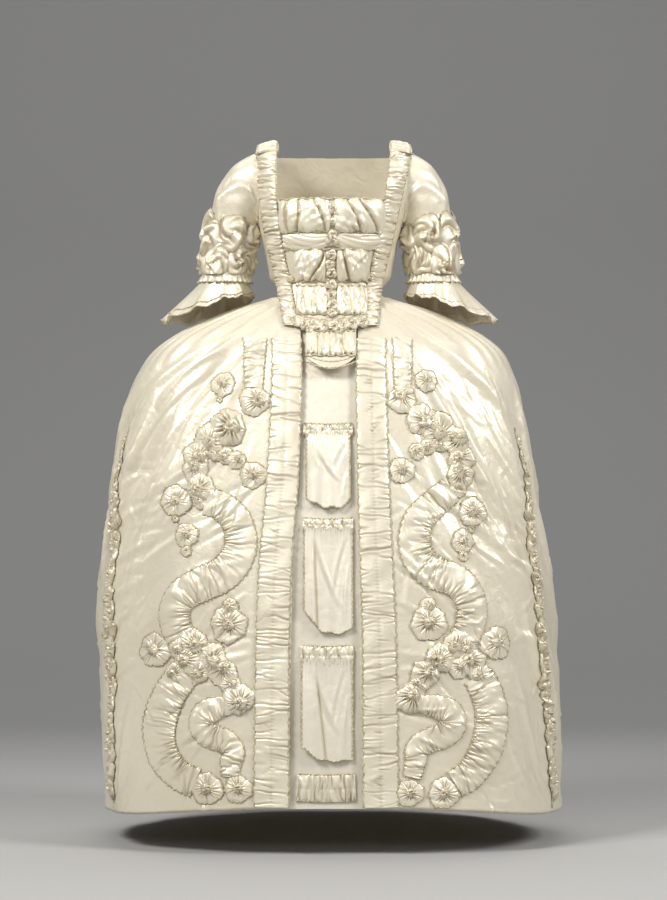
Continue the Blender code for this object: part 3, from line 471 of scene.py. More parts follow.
turns = np.linspace(-np.pi, np.pi, 121)[None, :-1]
petticoat_down = np.linspace(0, 1, 90)[:, None] ** 1.2 * HEM_LEVEL
petticoat_heights = petticoat_down * hem_share(turns) - 0.002
sew("petticoat_cloth", [patch(petticoat_point(turns, petticoat_heights), turns * GIRTH,
                              petticoat_heights, closed=True)],
    petticoat_satin, ("petticoat",), (2.85, 1.10))

# ---- Back of the robe ------------------------------------------------------------------------
# The sack back: one width of satin that falls from the shoulders to the trailing hem. It is
# fitted only at the side seams, below the armholes.

ARMHOLE_Y, ARMHOLE_Z, ARMHOLE_DEEP, ARMHOLE_HIGH = 0.012, 0.235, 0.056, 0.072
SHOULDER_SEAM_Y = 0.064
BACK_CREASES = tuple(crumples(5, 60, [0.86, 2.05, -1.0, -0.2], 4, 22, (0.06, 0.26),
                              (0.006, 0.014), (0.001, 0.0035)))
MIRRORED_BACK_CREASES = tuple((-s0, z0 - 0.03, -s1, z1 - 0.05, width, depth)
                              for s0, z0, s1, z1, width, depth in BACK_CREASES)


def side_angle(y, height):
    """The angle, on the +X side, of the point of the outline at this y."""
    behind = y > 0
    depth = np.where(behind, level_value(height, SACK), level_value(height, FRONT))
    square = np.where(behind, level_value(height, SACK_SQUARE), level_value(height, SQUARE))
    turn = np.arccos(np.minimum(0.999, np.abs(y) / depth) ** (square / 2))
    return np.where(behind, np.pi - turn, turn)


def armhole_reach(height):
    share = (height - ARMHOLE_Z) / ARMHOLE_HIGH
    return ARMHOLE_DEEP * np.sqrt(np.clip(1 - share**2, 0, None))


def back_relief(angle, height):
    round_way = angle * GIRTH
    total = relief(round_way, height, BACK_CREASES)
    total = total + relief(round_way - 2 * np.pi * GIRTH, height, MIRRORED_BACK_CREASES)
    gathers = np.clip(1 - np.abs(height + 0.09) / 0.14, 0, 1)
    beside = np.clip((np.abs(angle - np.pi) - 0.75) / 0.25, 0, 1)
    flutes = np.clip((-0.25 - height) / 0.6, 0, 1) * 0.004 * np.sin(angle * 23)
    at_seam = np.clip((np.pi - SIDE_SEAM - np.abs(angle - np.pi)) / 0.12, 0, 1)
    at_seam = np.where(height > 0, 1, at_seam)
    total = total + 0.004 * gathers * beside * np.sin(angle * 41 + height * 12) + flutes * beside
    return total * at_seam


def back_point(angle, height, lift=0.0):
    return gown_point(angle, height, lift + back_relief(np.asarray(angle), np.asarray(height)))


def robe_back():
    upper = np.linspace(0.310, 0.004, 50)
    lower = np.linspace(0, 1, 150) ** 1.2 * HEM_LEVEL
    down = np.concatenate((upper, lower))[:, None]
    body_edge = side_angle(ARMHOLE_Y + armhole_reach(down) + 0.001, down)
    shoulder = np.clip((down - 0.296) / 0.012, 0, 1)
    body_edge = body_edge + (side_angle(SHOULDER_SEAM_Y, down) - body_edge) * shoulder
    blend = np.clip((0.03 - down) / 0.03, 0, 1)
    edge = body_edge + (SIDE_SEAM + SEAM_GAP - body_edge) * np.where(down > 0, blend, 1)
    angle = edge + 2 * (np.pi - edge) * np.linspace(0, 1, 170)[None, :]
    height = np.where(down > 0, down, down * hem_share(angle))
    sew("satin_back", [hemmed_patch(back_point, angle, height)], robe_satin, ("robe_back",),
        (1.32, 1.45))


robe_back()

# ---- Box pleats of the sack ----------------------------------------------------------------------
# Two double box pleats, stitched flat at the back of the neck and falling free to the hem, where
# they open into the width of the skirt.

# Height, distance of the middle from the centre back, half widths of the under and the upper
# box, and how far the folds stand out.
PLEATS = ((-1.095, 0.096, 0.076, 0.064, 0.0060), (-0.700, 0.077, 0.062, 0.052, 0.0080),
          (-0.350, 0.060, 0.050, 0.040, 0.0090), (-0.100, 0.048, 0.042, 0.032, 0.0090),
          (0.050, 0.041, 0.037, 0.027, 0.0080), (0.200, 0.036, 0.033, 0.023, 0.0065),
          (0.308, 0.034, 0.031, 0.021, 0.0050))
PLEAT_LIFT = 0.0052
# Across one pleat: share of the under or upper half width, tuck under, and share of the rise.
PLEAT_SECTION = ((-1.00, 0, 0.00), (-1.03, 0, 0.15), (-1.02, 0, 0.30), (-0.95, 0, 0.38),
                 (-0.80, 0, 0.42), (-0.97, 1, 0.44), (-1.03, 1, 0.60), (-1.04, 1, 0.80),
                 (-0.98, 1, 0.95), (-0.85, 1, 1.00), (-0.60, 1, 1.02), (-0.30, 1, 1.03))


def sack_pleat(side_name, side):
    height = np.concatenate((np.linspace(0.308, 0.0, 60), np.linspace(-0.006, -1.095, 150)))
    height = height[:, None]
    middle, lower, upper, rise = (from_rows(PLEATS, height, column) for column in range(1, 5))
    section = np.array(PLEAT_SECTION + ((0.0, 1, 1.03),)
                       + tuple((-share, tier, up) for share, tier, up in PLEAT_SECTION[::-1]))
    share, tier, up = section.T[:, None, :]
    offset = share * np.where(tier > 0, upper, lower)
    wave = 0.0022 * np.sin(height * 17 + side) * np.clip(-height, 0, 1)
    x = side * middle + offset + wave
    power = level_value(height, SACK_SQUARE) / 2
    around = np.clip((x - level_value(height, LEAN)) / level_value(height, WIDTH), -0.99, 0.99)
    angle = np.pi - np.sign(around) * np.arcsin(np.abs(around) ** power)
    lift = PLEAT_LIFT - 0.002 + up * (rise + 0.002) + 0.0012 * np.sin(height * 31 + 9 * x) * up
    points = back_point(angle, height + 0 * angle, lift)
    # Painted shade on the under folds of the pleats.
    painted_shade = np.clip(0.5 - up, 0, 1) * np.ones_like(points[..., 0])
    sew("sack_box_pleat_" + side_name, [patch(points, x, height + 0 * x, painted_shade)], robe_satin,
        ("sack_pleat_" + side_name,), (0.165, 1.45))


sack_pleat("left", -1)
sack_pleat("right", 1)

# ---- Ruched robings of the skirt -----------------------------------------------------------------
# Straight bands of satin gathered along both edges and down the middle, sewn to the open front
# edges from the waist to the hem, and edged with straw-coloured gimp.

# Trim satin, with a deep tan for its painted shade in the grooves of the gathers, also used for its
# yellowed patches.
trim_satin = silk_material("trim_satin", (0.855, 0.79, 0.635, 1), (0.38, 0.31, 0.19, 1), 0.40, 0.36)
gimp_silk = bpy.data.materials.new("gimp_silk")
gimp_silk.use_nodes = True
gimp_tree = gimp_silk.node_tree
gimp_shader = gimp_tree.nodes["Principled BSDF"]
set_inputs(gimp_shader, ("Sheen Weight", 0.3), ("Roughness", 0.62))
gimp_spot = add_node(gimp_tree, "ShaderNodeTexCoord")
gimp_twist = add_node(gimp_tree, "ShaderNodeTexWave", (("Scale", 190.0), ("Distortion", 2.0)),
                      bands_direction="DIAGONAL")
gimp_noise = add_node(gimp_tree, "ShaderNodeTexNoise", (("Scale", 160.0), ("Detail", 2.0)))
gimp_ramp = add_node(gimp_tree, "ShaderNodeValToRGB")
gimp_ramp.color_ramp.elements[0].position = 0.35
gimp_ramp.color_ramp.elements[0].color = (0.38, 0.32, 0.19, 1)
gimp_ramp.color_ramp.elements[1].position = 0.65
gimp_ramp.color_ramp.elements[1].color = (0.68, 0.61, 0.43, 1)
gimp_bump = add_node(gimp_tree, "ShaderNodeBump", (("Strength", 0.5), ("Distance", 0.0010)))
wire(gimp_tree, (gimp_spot.outputs["UV"], gimp_twist.inputs["Vector"]),
     (gimp_spot.outputs["Object"], gimp_noise.inputs["Vector"]),
     (gimp_noise.outputs["Fac"], gimp_ramp.inputs["Fac"]),
     (gimp_ramp.outputs["Color"], gimp_shader.inputs["Base Color"]),
     (gimp_twist.outputs["Fac"], gimp_bump.inputs["Height"]),
     (gimp_bump.outputs["Normal"], gimp_shader.inputs["Normal"]))


def smooth_route(route, step):
    """Even stations on a smooth curve through a route's points, and the distance along it."""
    route = np.asarray(route, float)
    padded = np.vstack((2 * route[0] - route[1], route, 2 * route[-1] - route[-2]))
    t = np.linspace(0, 1, 24, endpoint=False)[:, None]
    dense = []
    for before, start, end, after in zip(padded, padded[1:], padded[2:], padded[3:]):
        dense.append(0.5 * (2 * start + (end - before) * t
                            + (2 * before - 5 * start + 4 * end - after) * t**2
                            + (3 * start - before - 3 * end + after) * t**3))
    dense = np.vstack(dense + [route[-1:]])
    travelled = np.concatenate(((0,), np.cumsum(np.linalg.norm(np.diff(dense, axis=0), axis=1))))
    distance = np.linspace(0, travelled[-1], max(6, int(travelled[-1] / step)))
    points = np.stack([np.interp(distance, travelled, column) for column in dense.T], axis=1)
    return points, distance


def seam_line(place, u, v, lift, closed=False):
    """A line on the cloth with its normals, for the gimp sewn along it."""
    line = place(u, v, lift)
    normals = unit(place(u, v, lift + 0.01) - line)
    if closed:
        line, normals = (np.concatenate((rows, rows[:1])) for rows in (line, normals))
    return line, normals


def creased_band(route, width, place, spacing, crown, seed, middle_seam=0.0, across=0.2,
                 step=0.0018, columns=21):
    """A band drawn up along its seams: its patch of cloth and its two edge lines with normals.

    Each crease starts at a seam and dies out across the band; on a curve most of them start at
    the inner edge. Across is the share of the creases that run the whole way.
    """
    pick = np.random.default_rng(seed)
    centres, distance = smooth_route(route, step)
    ways = unit(np.gradient(centres, axis=0))
    bend = np.gradient(np.unwrap(np.arctan2(ways[:, 1], ways[:, 0])), distance)
    wide = np.interp(distance / distance[-1], np.linspace(0, 1, len(width)), width)[:, None]
    s = distance[:, None]
    t = np.sin(np.linspace(-1, 1, columns) * np.pi / 2)[None, :]
    swell = 0.75 + 0.25 * np.sin(s * 2 * np.pi / (2.7 * spacing) + 2 * t + seed)
    lift = 0.0014 + crown * np.clip(1 - np.abs(t) ** 3.5, 0, 1) ** 0.6 * swell
    painted_shade = 0.0 * lift
    start = 0.0
    while start < distance[-1]:
        row = min(int(start / distance[-1] * len(distance)), len(distance) - 1)
        turning = float(np.clip(bend[row] / 9, -1, 1))
        seam = 1 if pick.uniform(-1, 1) < 2.2 * turning else -1
        where = pick.uniform()
        begin, end = seam, seam * pick.uniform(-0.75, 0.55)
        if where < across:
            end = -2.2 * seam
        elif where < across + 0.30 * (middle_seam > 0):
            begin, end = 0.0, seam * pick.uniform(0.35, 0.8)
        share = (t - begin) / (end - begin)
        fade = np.where(share < 0, np.exp(-((share / 0.1) ** 2)), np.clip(1 - share, 0, 1) ** 0.75)
        lean = pick.normal(0, 0.16) * wide * share
        wiggle = 0.0009 * np.sin(5 * t + pick.uniform(0, 6))
        beside = s - start - lean - wiggle
        narrow = pick.uniform(0.0010, 0.0019) * (1 + 0.9 * np.clip(share, 0, 1))
        strength = crown * pick.uniform(0.35, 0.95) * fade
        groove = np.exp(-((beside / narrow) ** 2))
        welt = np.exp(-(((np.abs(beside) - 2.1 * narrow) / (1.5 * narrow)) ** 2))
        lift = lift + strength * (0.30 * welt - 0.80 * groove)
        # Painted shade in each groove.
        painted_shade = np.maximum(painted_shade, groove * fade * pick.uniform(0.35, 1.0))
        start += spacing * pick.uniform(0.12, 0.72)
    if middle_seam:
        line = np.exp(-(((t - 0.05 * np.sin(s * 37)) / 0.07) ** 2))
        lift = lift - middle_seam * crown * line * (0.6 + 0.4 * np.sin(s * 900 + 3))
        # Painted shade along the drawn-in middle seam.
        painted_shade = np.maximum(painted_shade, 0.45 * line * middle_seam)
    scallop = 1 + 0.035 * np.abs(t) ** 3 * np.sin(s * 2 * np.pi / (0.8 * spacing))
    sideways = np.stack((-ways[:, 1], ways[:, 0]), axis=1)[:, None, :]
    flat = centres[:, None, :] + sideways * (t * wide / 2 * scallop)[..., None]
    lift = np.maximum(lift, 0.0008)
    points = place(flat[..., 0], flat[..., 1], lift)
    edges = [seam_line(place, flat[:, column, 0], flat[:, column, 1], lift[:, column])
             for column in (0, -1)]
    return patch(points, s + 0 * t, t * wide / 2, np.clip(painted_shade, 0, 1)), edges, distance[-1]


def gimp_cord(line, normals, radius=0.0014, period=0.0042, seed=0):
    """A little knobbly braid along a line."""
    pick = np.random.default_rng(seed)
    steps = np.concatenate(((0,), np.cumsum(np.linalg.norm(np.diff(line, axis=0), axis=1))))
    distance = np.linspace(0, steps[-1], max(4, int(steps[-1] / 0.0024)))
    centre = np.stack([np.interp(distance, steps, column) for column in line.T], axis=1)
    outward = unit(np.stack([np.interp(distance, steps, column) for column in normals.T], axis=1))
    tangent = unit(np.gradient(centre, axis=0))
    beside = unit(np.cross(tangent, outward))
    wobble = 0.0007 * np.sin(2 * np.pi * distance / (2.3 * period)) + pick.normal(0, 0.00025,
                                                                                 len(distance))
    centre = centre + beside * wobble[:, None] + outward * 0.0008
    swell = radius * (0.72 + 0.42 * np.abs(np.sin(np.pi * distance / period)))
    turn = np.linspace(0, 2 * np.pi, 4, endpoint=False)
    ring = (centre[:, None, :]
            + beside[:, None, :] * (np.cos(turn)[None, :] * swell[:, None] * 1.25)[..., None]
            + outward[:, None, :] * (np.sin(turn)[None, :] * swell[:, None] * 0.8)[..., None])
    return patch(ring, distance[:, None] + 0 * turn, turn[None, :] * radius, closed=True)


def sew_gimp(name, lines):
    return sew(name, [gimp_cord(line, normals, seed=index)
                      for index, (line, normals) in enumerate(lines)], gimp_silk)


FULLNESS = 1.22         # cloth gathered into one length of band, by length


def sew_band(name, node, route, width, place, spacing, crown, seed, rests_on, **looks):
    cloth, edges, length = creased_band(route, width, place, spacing, crown, seed, **looks)
    gimp = sew_gimp(name + "_gimp", edges)
    return sew(name, [cloth], trim_satin, (node,),
               (length * FULLNESS, float(np.mean(width)) * 1.12))


SKIRT_ROBINGS = {
    "left": ((-0.092, -0.088), (-0.092, -0.200), (-0.101, -0.400), (-0.113, -0.540),
             (-0.119, -0.710), (-0.121, -1.044)),
    "right": ((0.083, -0.088), (0.083, -0.200), (0.087, -0.400), (0.092, -0.540),
              (0.098, -0.710), (0.101, -1.044)),
}
for number, (side_name, robing_route) in enumerate(SKIRT_ROBINGS.items()):
    sew_band("ruched_robing_" + side_name, "skirt_robing_" + side_name, robing_route,
             (0.060, 0.071), on_skirt, 0.026, 0.0038, 40 + number,
             ("satin_skirt_" + side_name,), middle_seam=0.5, across=0.26)

# ---- Serpentine bands on the skirt fronts ------------------------------------------------------
# Bands of satin drawn up mostly along their inner edges and sewn down in curves. Each side is
# given on its own, so the two only nearly mirror each other.

# Name, route, widths along it, spacing of the creases, and crown.
SKIRT_BANDS = {
    "left": {
        "top_band": (((-0.158, -0.088), (-0.160, -0.192)), (0.048, 0.036), 0.014, 0.0050),
        "s_band": (((-0.256, -0.424), (-0.224, -0.435), (-0.195, -0.463), (-0.184, -0.506),
                    (-0.196, -0.546), (-0.226, -0.576), (-0.268, -0.596), (-0.304, -0.617),
                    (-0.320, -0.645), (-0.318, -0.680), (-0.304, -0.712)),
                   (0.056, 0.070, 0.060), 0.013, 0.0048),
        "c_band": (((-0.300, -0.775), (-0.330, -0.816), (-0.350, -0.860), (-0.356, -0.905),
                    (-0.343, -0.951), (-0.315, -0.982), (-0.276, -0.998)),
                   (0.064, 0.072, 0.060), 0.013, 0.0048),
        "scroll": (((-0.204, -0.838), (-0.232, -0.845), (-0.257, -0.860), (-0.262, -0.884),
                    (-0.243, -0.903), (-0.216, -0.912), (-0.200, -0.931), (-0.204, -0.956),
                    (-0.206, -0.984)), (0.036, 0.054, 0.050, 0.048, 0.036), 0.011, 0.0050),
    },
    "right": {
        "top_band": (((0.148, -0.088), (0.148, -0.192)), (0.040, 0.032), 0.014, 0.0050),
        "s_band": (((0.246, -0.402), (0.214, -0.428), (0.180, -0.463), (0.170, -0.506),
                    (0.182, -0.545), (0.212, -0.570), (0.248, -0.584), (0.275, -0.606),
                    (0.287, -0.640), (0.284, -0.676), (0.272, -0.706)),
                   (0.056, 0.068, 0.058), 0.013, 0.0048),
        "c_band": (((0.300, -0.782), (0.318, -0.815), (0.328, -0.850), (0.328, -0.890),
                    (0.313, -0.937), (0.288, -0.977), (0.252, -1.000)),
                   (0.060, 0.070, 0.058), 0.013, 0.0048),
        "scroll": (((0.182, -0.836), (0.212, -0.841), (0.241, -0.856), (0.247, -0.882),
                    (0.228, -0.901), (0.199, -0.910), (0.176, -0.926), (0.172, -0.950),
                    (0.164, -0.984)), (0.036, 0.054, 0.050, 0.048, 0.036), 0.011, 0.0050),
    },
}
for side_name, bands in SKIRT_BANDS.items():
    for number, (band_name, (route, widths, spacing, crown)) in enumerate(bands.items()):
        sew_band("gathered_" + band_name + "_" + side_name, "skirt_" + band_name + "_" + side_name,
                 route, widths, on_skirt, spacing, crown, 100 * len(side_name) + number,
                 ("satin_skirt_" + side_name,), across=0.12)

# ---- Rosettes and crumpled puffs on the skirt fronts --------------------------------------------
# Rounds of satin drawn up on a thread: rosettes with a knotted middle, pendants, and chains of
# rounds with the knot to one side. All are edged with gimp and sewn down on the skirt.

def gathered_round(place, u, v, radius, seed, crown=0.15, knot=0.24, aside=0.0):
    """A round of satin drawn up round a knot, which may lie aside of its middle."""
    pick = np.random.default_rng(seed)
    turn = np.linspace(0, 2 * np.pi, 104, endpoint=False)[None, :]
    r = np.linspace(0.04, 1, 13)[:, None]
    shift, way = pick.uniform(0, 6), pick.uniform(0, 2 * np.pi)
    reach = (1 + 0.05 * np.sin(3 * turn + shift) + 0.04 * np.sin(7 * turn - shift)
             + 0.02 * np.sin(16 * turn + 2 * shift))
    far = radius * r * reach
    lift = 0.002 + crown * radius * np.sin(np.pi * np.clip(0.22 + 0.78 * r, 0, 1)) ** 0.6
    lift = lift * (0.80 + 0.20 * np.sin(2 * turn + shift))
    # Painted shade at the drawn-up middle and, below, in each groove.
    painted_shade = 0.8 * np.exp(-((r / 0.18) ** 2)) + 0 * turn
    for number in range(24):
        spoke = math.radians((number + pick.uniform(0.1, 0.9)) * 15)
        curl = pick.normal(0, 0.22) * r**1.5
        away = (turn - spoke - curl + np.pi) % (2 * np.pi) - np.pi
        beside = np.abs(away) * far
        narrow = radius * pick.uniform(0.028, 0.048)
        fade = np.clip(1 - r / pick.uniform(0.5, 1.15), 0, 1) ** 0.6
        groove = np.exp(-((beside / narrow) ** 2))
        welt = np.exp(-(((beside - 2 * narrow) / (1.3 * narrow)) ** 2))
        lift = lift + crown * radius * fade * (0.20 * welt - 0.52 * groove)
        painted_shade = np.maximum(painted_shade, groove * fade)
    lift = np.maximum(lift, 0.0010)
    x = u + far * np.cos(turn) + aside * radius * math.cos(way) * (1 - r)
    z = v + far * np.sin(turn) + aside * radius * math.sin(way) * (1 - r)
    cloths = [patch(place(x, z, lift), turn * radius + 0 * r, far, np.clip(painted_shade, 0, 1), True)]
    edges = [seam_line(place, x[-1], z[-1], lift[-1], closed=True)]
    if knot:
        puff, rim = crumpled_puff(place, x[0].mean(), z[0].mean(), radius * knot * 1.5,
                                  0.4 * radius, seed + 1, base=crown * radius * 0.8, sides=24)
        cloths.append(puff)
        edges.append(rim)
    return cloths, edges


def crumpled_puff(place, u, v, radius, rise, seed, base=0.002, sides=36, stretch=1.0):
    """A puff pulled in at its rim, with sharp folds that cross it in several directions."""
    pick = np.random.default_rng(seed)
    turn = np.linspace(0, 2 * np.pi, sides, endpoint=False)[None, :]
    r = np.linspace(0.03, 1, max(8, sides // 3))[:, None]
    shift = pick.uniform(0, 6)
    reach = radius * r * (1 + 0.10 * np.sin(3 * turn + shift) + 0.07 * np.sin(5 * turn - shift))
    across, up = r * np.cos(turn), r * np.sin(turn)
    dome = np.clip(1 - r**2.6, 0, 1) ** 0.6
    folds, painted_shade = 0.0 * across, 0.0 * across
    for _ in range(12):
        way, offset = pick.uniform(0, np.pi), pick.uniform(-0.75, 0.75)
        along = across * math.sin(way) - up * math.cos(way)
        beside = across * math.cos(way) + up * math.sin(way) - offset - 0.10 * np.sin(4 * along)
        narrow, part = pick.uniform(0.055, 0.115), np.exp(-((along - offset) / 0.6) ** 2)
        ridge = np.exp(-np.abs(beside) / narrow)
        trough = np.exp(-((beside - 2 * narrow) / narrow) ** 2)
        folds = folds + pick.uniform(0.3, 0.6) * part * (ridge - 0.9 * trough)
        painted_shade = np.maximum(painted_shade, trough * part)
    lift = base + rise * dome * np.clip(0.62 + 0.6 * folds, 0.1, 1.5)
    x, z = u + reach * np.cos(turn) * stretch, v + reach * np.sin(turn)
    # Painted shade in the troughs of the folds and towards the pulled-in rim.
    cloth = patch(place(x, z, lift), turn * radius + 0 * r, r * radius + 0 * turn,
                  np.clip(0.85 * painted_shade + 0.5 * r**6, 0, 1), closed=True)
    return cloth, seam_line(place, x[-1], z[-1], lift[-1] + 0 * turn[0], closed=True)


def sew_rounds(name, nodes, made, flat):
    """One piece from several rounds, each given as its cloths and its edges."""
    gimp = sew_gimp(name + "_gimp", [edge for _, edges in made for edge in edges])
    sew(name, [cloth for cloths, _ in made for cloth in cloths], trim_satin, nodes,
        flat)


# Rosettes with a solid of their own, by number: middle as seen from the front, and radius.
ROSETTES = {
    "left": ((-0.224, -0.184, 0.025), (-0.160, -0.371, 0.027), (-0.320, -0.424, 0.031),
             (-0.297, -0.494, 0.025), (-0.209, -0.676, 0.037), (-0.364, -0.731, 0.034)),
    "right": ((0.197, -0.177, 0.023), (0.146, -0.361, 0.026), (0.293, -0.446, 0.029),
              (0.271, -0.506, 0.024), (0.200, -0.672, 0.037), (0.338, -0.716, 0.033)),
}
# Rosettes and pendants with none: middle and radius.
SMALL_ROSETTES = {
    "left": ((-0.252, -1.009, 0.032), (-0.188, -1.007, 0.028), (-0.230, -0.216, 0.006),
             (-0.322, -0.461, 0.007), (-0.297, -0.527, 0.011)),
    "right": ((0.229, -1.017, 0.031), (0.160, -1.015, 0.027), (0.160, -0.166, 0.008),
              (0.272, -0.537, 0.011), (0.293, -0.482, 0.007)),
}
# Chains and groups of rounds: middle and radius of each.
PUFFS = {
    "skirt_puff_chain_left": ((-0.159, -0.218, 0.029), (-0.214, -0.274, 0.035),
                              (-0.250, -0.296, 0.029), (-0.276, -0.331, 0.026),
                              (-0.279, -0.362, 0.024), (-0.268, -0.396, 0.026)),
    "skirt_branch_left": ((-0.238, -0.324, 0.017), (-0.216, -0.332, 0.016),
                          (-0.194, -0.340, 0.017)),
    "skirt_link_left": ((-0.284, -0.716, 0.030), (-0.243, -0.742, 0.028), (-0.220, -0.772, 0.027),
                        (-0.188, -0.825, 0.030), (-0.205, -0.796, 0.020)),
    "skirt_puff_chain_right": ((0.147, -0.216, 0.027), (0.186, -0.256, 0.029),
                               (0.222, -0.276, 0.031), (0.256, -0.302, 0.027),
                               (0.268, -0.337, 0.025), (0.267, -0.374, 0.026)),
    "skirt_branch_right": ((0.224, -0.306, 0.016), (0.200, -0.313, 0.015), (0.178, -0.322, 0.016)),
    "skirt_link_right": ((0.260, -0.716, 0.027), (0.222, -0.744, 0.028), (0.190, -0.776, 0.027),
                         (0.160, -0.826, 0.028), (0.176, -0.800, 0.018)),
}
EXTRA_PUFFS = {
    "left": ((-0.304, -0.728, 0.024), (-0.292, -0.752, 0.027), (-0.270, -0.770, 0.022),
             (-0.206, -0.639, 0.016), (-0.266, -0.424, 0.017), (-0.318, -0.775, 0.020)),
    "right": ((0.274, -0.722, 0.022), (0.288, -0.754, 0.026), (0.262, -0.766, 0.020),
              (0.198, -0.636, 0.015), (0.262, -0.400, 0.017), (0.306, -0.778, 0.020)),
}
for side_name, rosettes in ROSETTES.items():
    base = ("satin_skirt_" + side_name,)
    for number, (x, height, radius) in enumerate(rosettes):
        node = f"rosette_{side_name}_{number + 1}"
        sew_rounds("satin_" + node, (node,),
                   [gathered_round(on_skirt, x, height, radius, 7 * number + len(side_name))],
                   (radius * 4.4, radius * 1.3))
    sew_rounds("small_rosettes_" + side_name, (),
               [gathered_round(on_skirt, *row, 70 + number, knot=0.24 * (row[2] > 0.02))
                for number, row in enumerate(SMALL_ROSETTES[side_name])], (0.30, 0.034))
    groups = [(node, rows) for node, rows in PUFFS.items() if node.endswith(side_name)]
    for node, rows in groups + [("", EXTRA_PUFFS[side_name])]:
        made = []
        for number, (x, height, radius) in enumerate(rows):
            made.append(gathered_round(on_skirt, x, height, radius * 1.06,
                                       31 * number + len(node + side_name),
                                       crown=0.24 + 0.08 * (number % 2), knot=0.30, aside=0.34))
        area = sum(6.2 * radius**2 for _, _, radius in rows)
        sew_rounds("puffs_" + (node or "extra_" + side_name), (node,) if node else (), made,
                   (area / 0.06, 0.06))

# ---- Side trims ----------------------------------------------------------------------------------
# A narrow ruche of small crumpled puffs runs down each side of the skirt beside the pocket slit,
# with one line of gimp along its front edge.

SIDE_ROUTE = ((-0.285, 73.0), (-0.370, 70.5), (-0.450, 68.5), (-0.560, 67.0), (-0.640, 65.5),
              (-0.700, 65.0), (-0.830, 66.0), (-0.960, 69.5), (-1.058, 73.5))


def on_side(side):
    def place(round_way, height, lift):
        return skirt_point(side * round_way / GIRTH, height, lift)
    return place


for side_name, side in (("left", -1), ("right", 1)):
    heights = np.array([row[0] for row in SIDE_ROUTE])[::-1]
    degrees = np.array([row[1] for row in SIDE_ROUTE])[::-1]
    pick = np.random.default_rng(7 + side)
    made, level, number = [], -0.300, 0
    while level > -1.052:
        size = pick.uniform(0.016, 0.023) * (0.55 + 0.45 * min(1, (-0.25 - level) / 0.2))
        middle = math.radians(np.interp(level, heights, degrees)) * GIRTH
        sway = 0.007 * (-1) ** number + pick.uniform(-0.003, 0.003)
        cloth, edge = crumpled_puff(on_side(side), middle + sway, level, size, 0.52 * size,
                                    900 + number, sides=27, stretch=1.15)
        made.append(([cloth], [edge] if number % 2 else []))
        level -= size * pick.uniform(0.75, 1.1)
        number += 1
    levels = np.linspace(-0.27, -1.07, 420)
    front = np.radians(np.interp(levels, heights, degrees)) * GIRTH - 0.017
    front = front + 0.002 * np.sin(levels * 70)
    made.append(([], [seam_line(on_side(side), front, levels, 0.001 + 0 * levels)]))
    sew_rounds("side_ruche_" + side_name, ("side_trim_" + side_name,), made, (1.05, 0.044))

# ---- Stomacher -------------------------------------------------------------------------------------
# A stiff boned front of satin, pinned between the robings and ending in a round point over the
# skirt; it carries rows of puffs gathered above and below.

# Height, depth in front, and width that its curve would reach if it ran on.
STIFF_FRONT = ((-0.125, 0.1880, 0.2700), (-0.100, 0.1730, 0.2400), (-0.075, 0.1575, 0.2200),
               (-0.046, 0.1400, 0.2000), (-0.022, 0.1255, 0.1720), (0.000, 0.1165, 0.1500),
               (0.025, 0.1110, 0.1350), (0.050, 0.1085, 0.1300), (0.100, 0.1150, 0.1380),
               (0.150, 0.1220, 0.1500), (0.178, 0.1223, 0.1560), (0.205, 0.1203, 0.1610))
# Height, distance from the middle of the front to the edge under the robings, and that middle.
FRONT_EDGE = ((-0.060, 0.079, -0.001), (0.020, 0.090, -0.004), (0.100, 0.109, -0.004),
              (0.150, 0.117, -0.003), (0.205, 0.112, -0.001), (0.325, 0.120, 0.006))
POINT_WIDTH, POINT_DROP, STIFF_POWER = 0.052, 0.028, 2.1
BODICE_WALL = 0.0015    # thickness of the stomacher and of the bodice fronts


def on_stiff_front(x, height, lift):
    x, height = np.broadcast_arrays(np.asarray(x, float), np.asarray(height, float))
    depth = from_rows(STIFF_FRONT, height, 1) + 0.6 * np.clip(STIFF_FRONT[0][0] - height, 0, None)
    width = from_rows(STIFF_FRONT, height, 2)
    offset = x - level_value(np.maximum(height, 0), LEAN)
    share = np.minimum(0.97, np.abs(offset) / width)
    y = -depth * (1 - share**STIFF_POWER) ** (1 / STIFF_POWER)
    outward = unit(np.stack((offset / width**2, y / depth**2, 0 * y), axis=-1))
    return np.stack((x, y, height), axis=-1) + outward * np.asarray(lift)[..., None]


def stomacher_middle(height):
    return np.where(height > -0.060, from_rows(FRONT_EDGE, height, 2), 0.0)


def stomacher_half(height):
    upper = from_rows(FRONT_EDGE, height, 1) - 0.001
    return np.where(height > -0.060, upper, POINT_WIDTH)


down = np.concatenate((np.linspace(0.205, -0.10, 50), np.linspace(-0.103, -0.125, 10)))[:, None]
spread = np.linspace(-1, 1, 44)[None, :]
half = stomacher_half(down)
level = down - POINT_DROP * np.clip((-0.10 - down) / 0.025, 0, 1) * (1 - spread**2)
stomacher_points = on_stiff_front(stomacher_middle(down) + spread * half, level, 0.0 * spread)
sew("satin_stomacher", [patch(stomacher_points, spread * half, level)], robe_satin,
    ("stomacher",), (0.225, 0.37), thickness=BODICE_WALL)


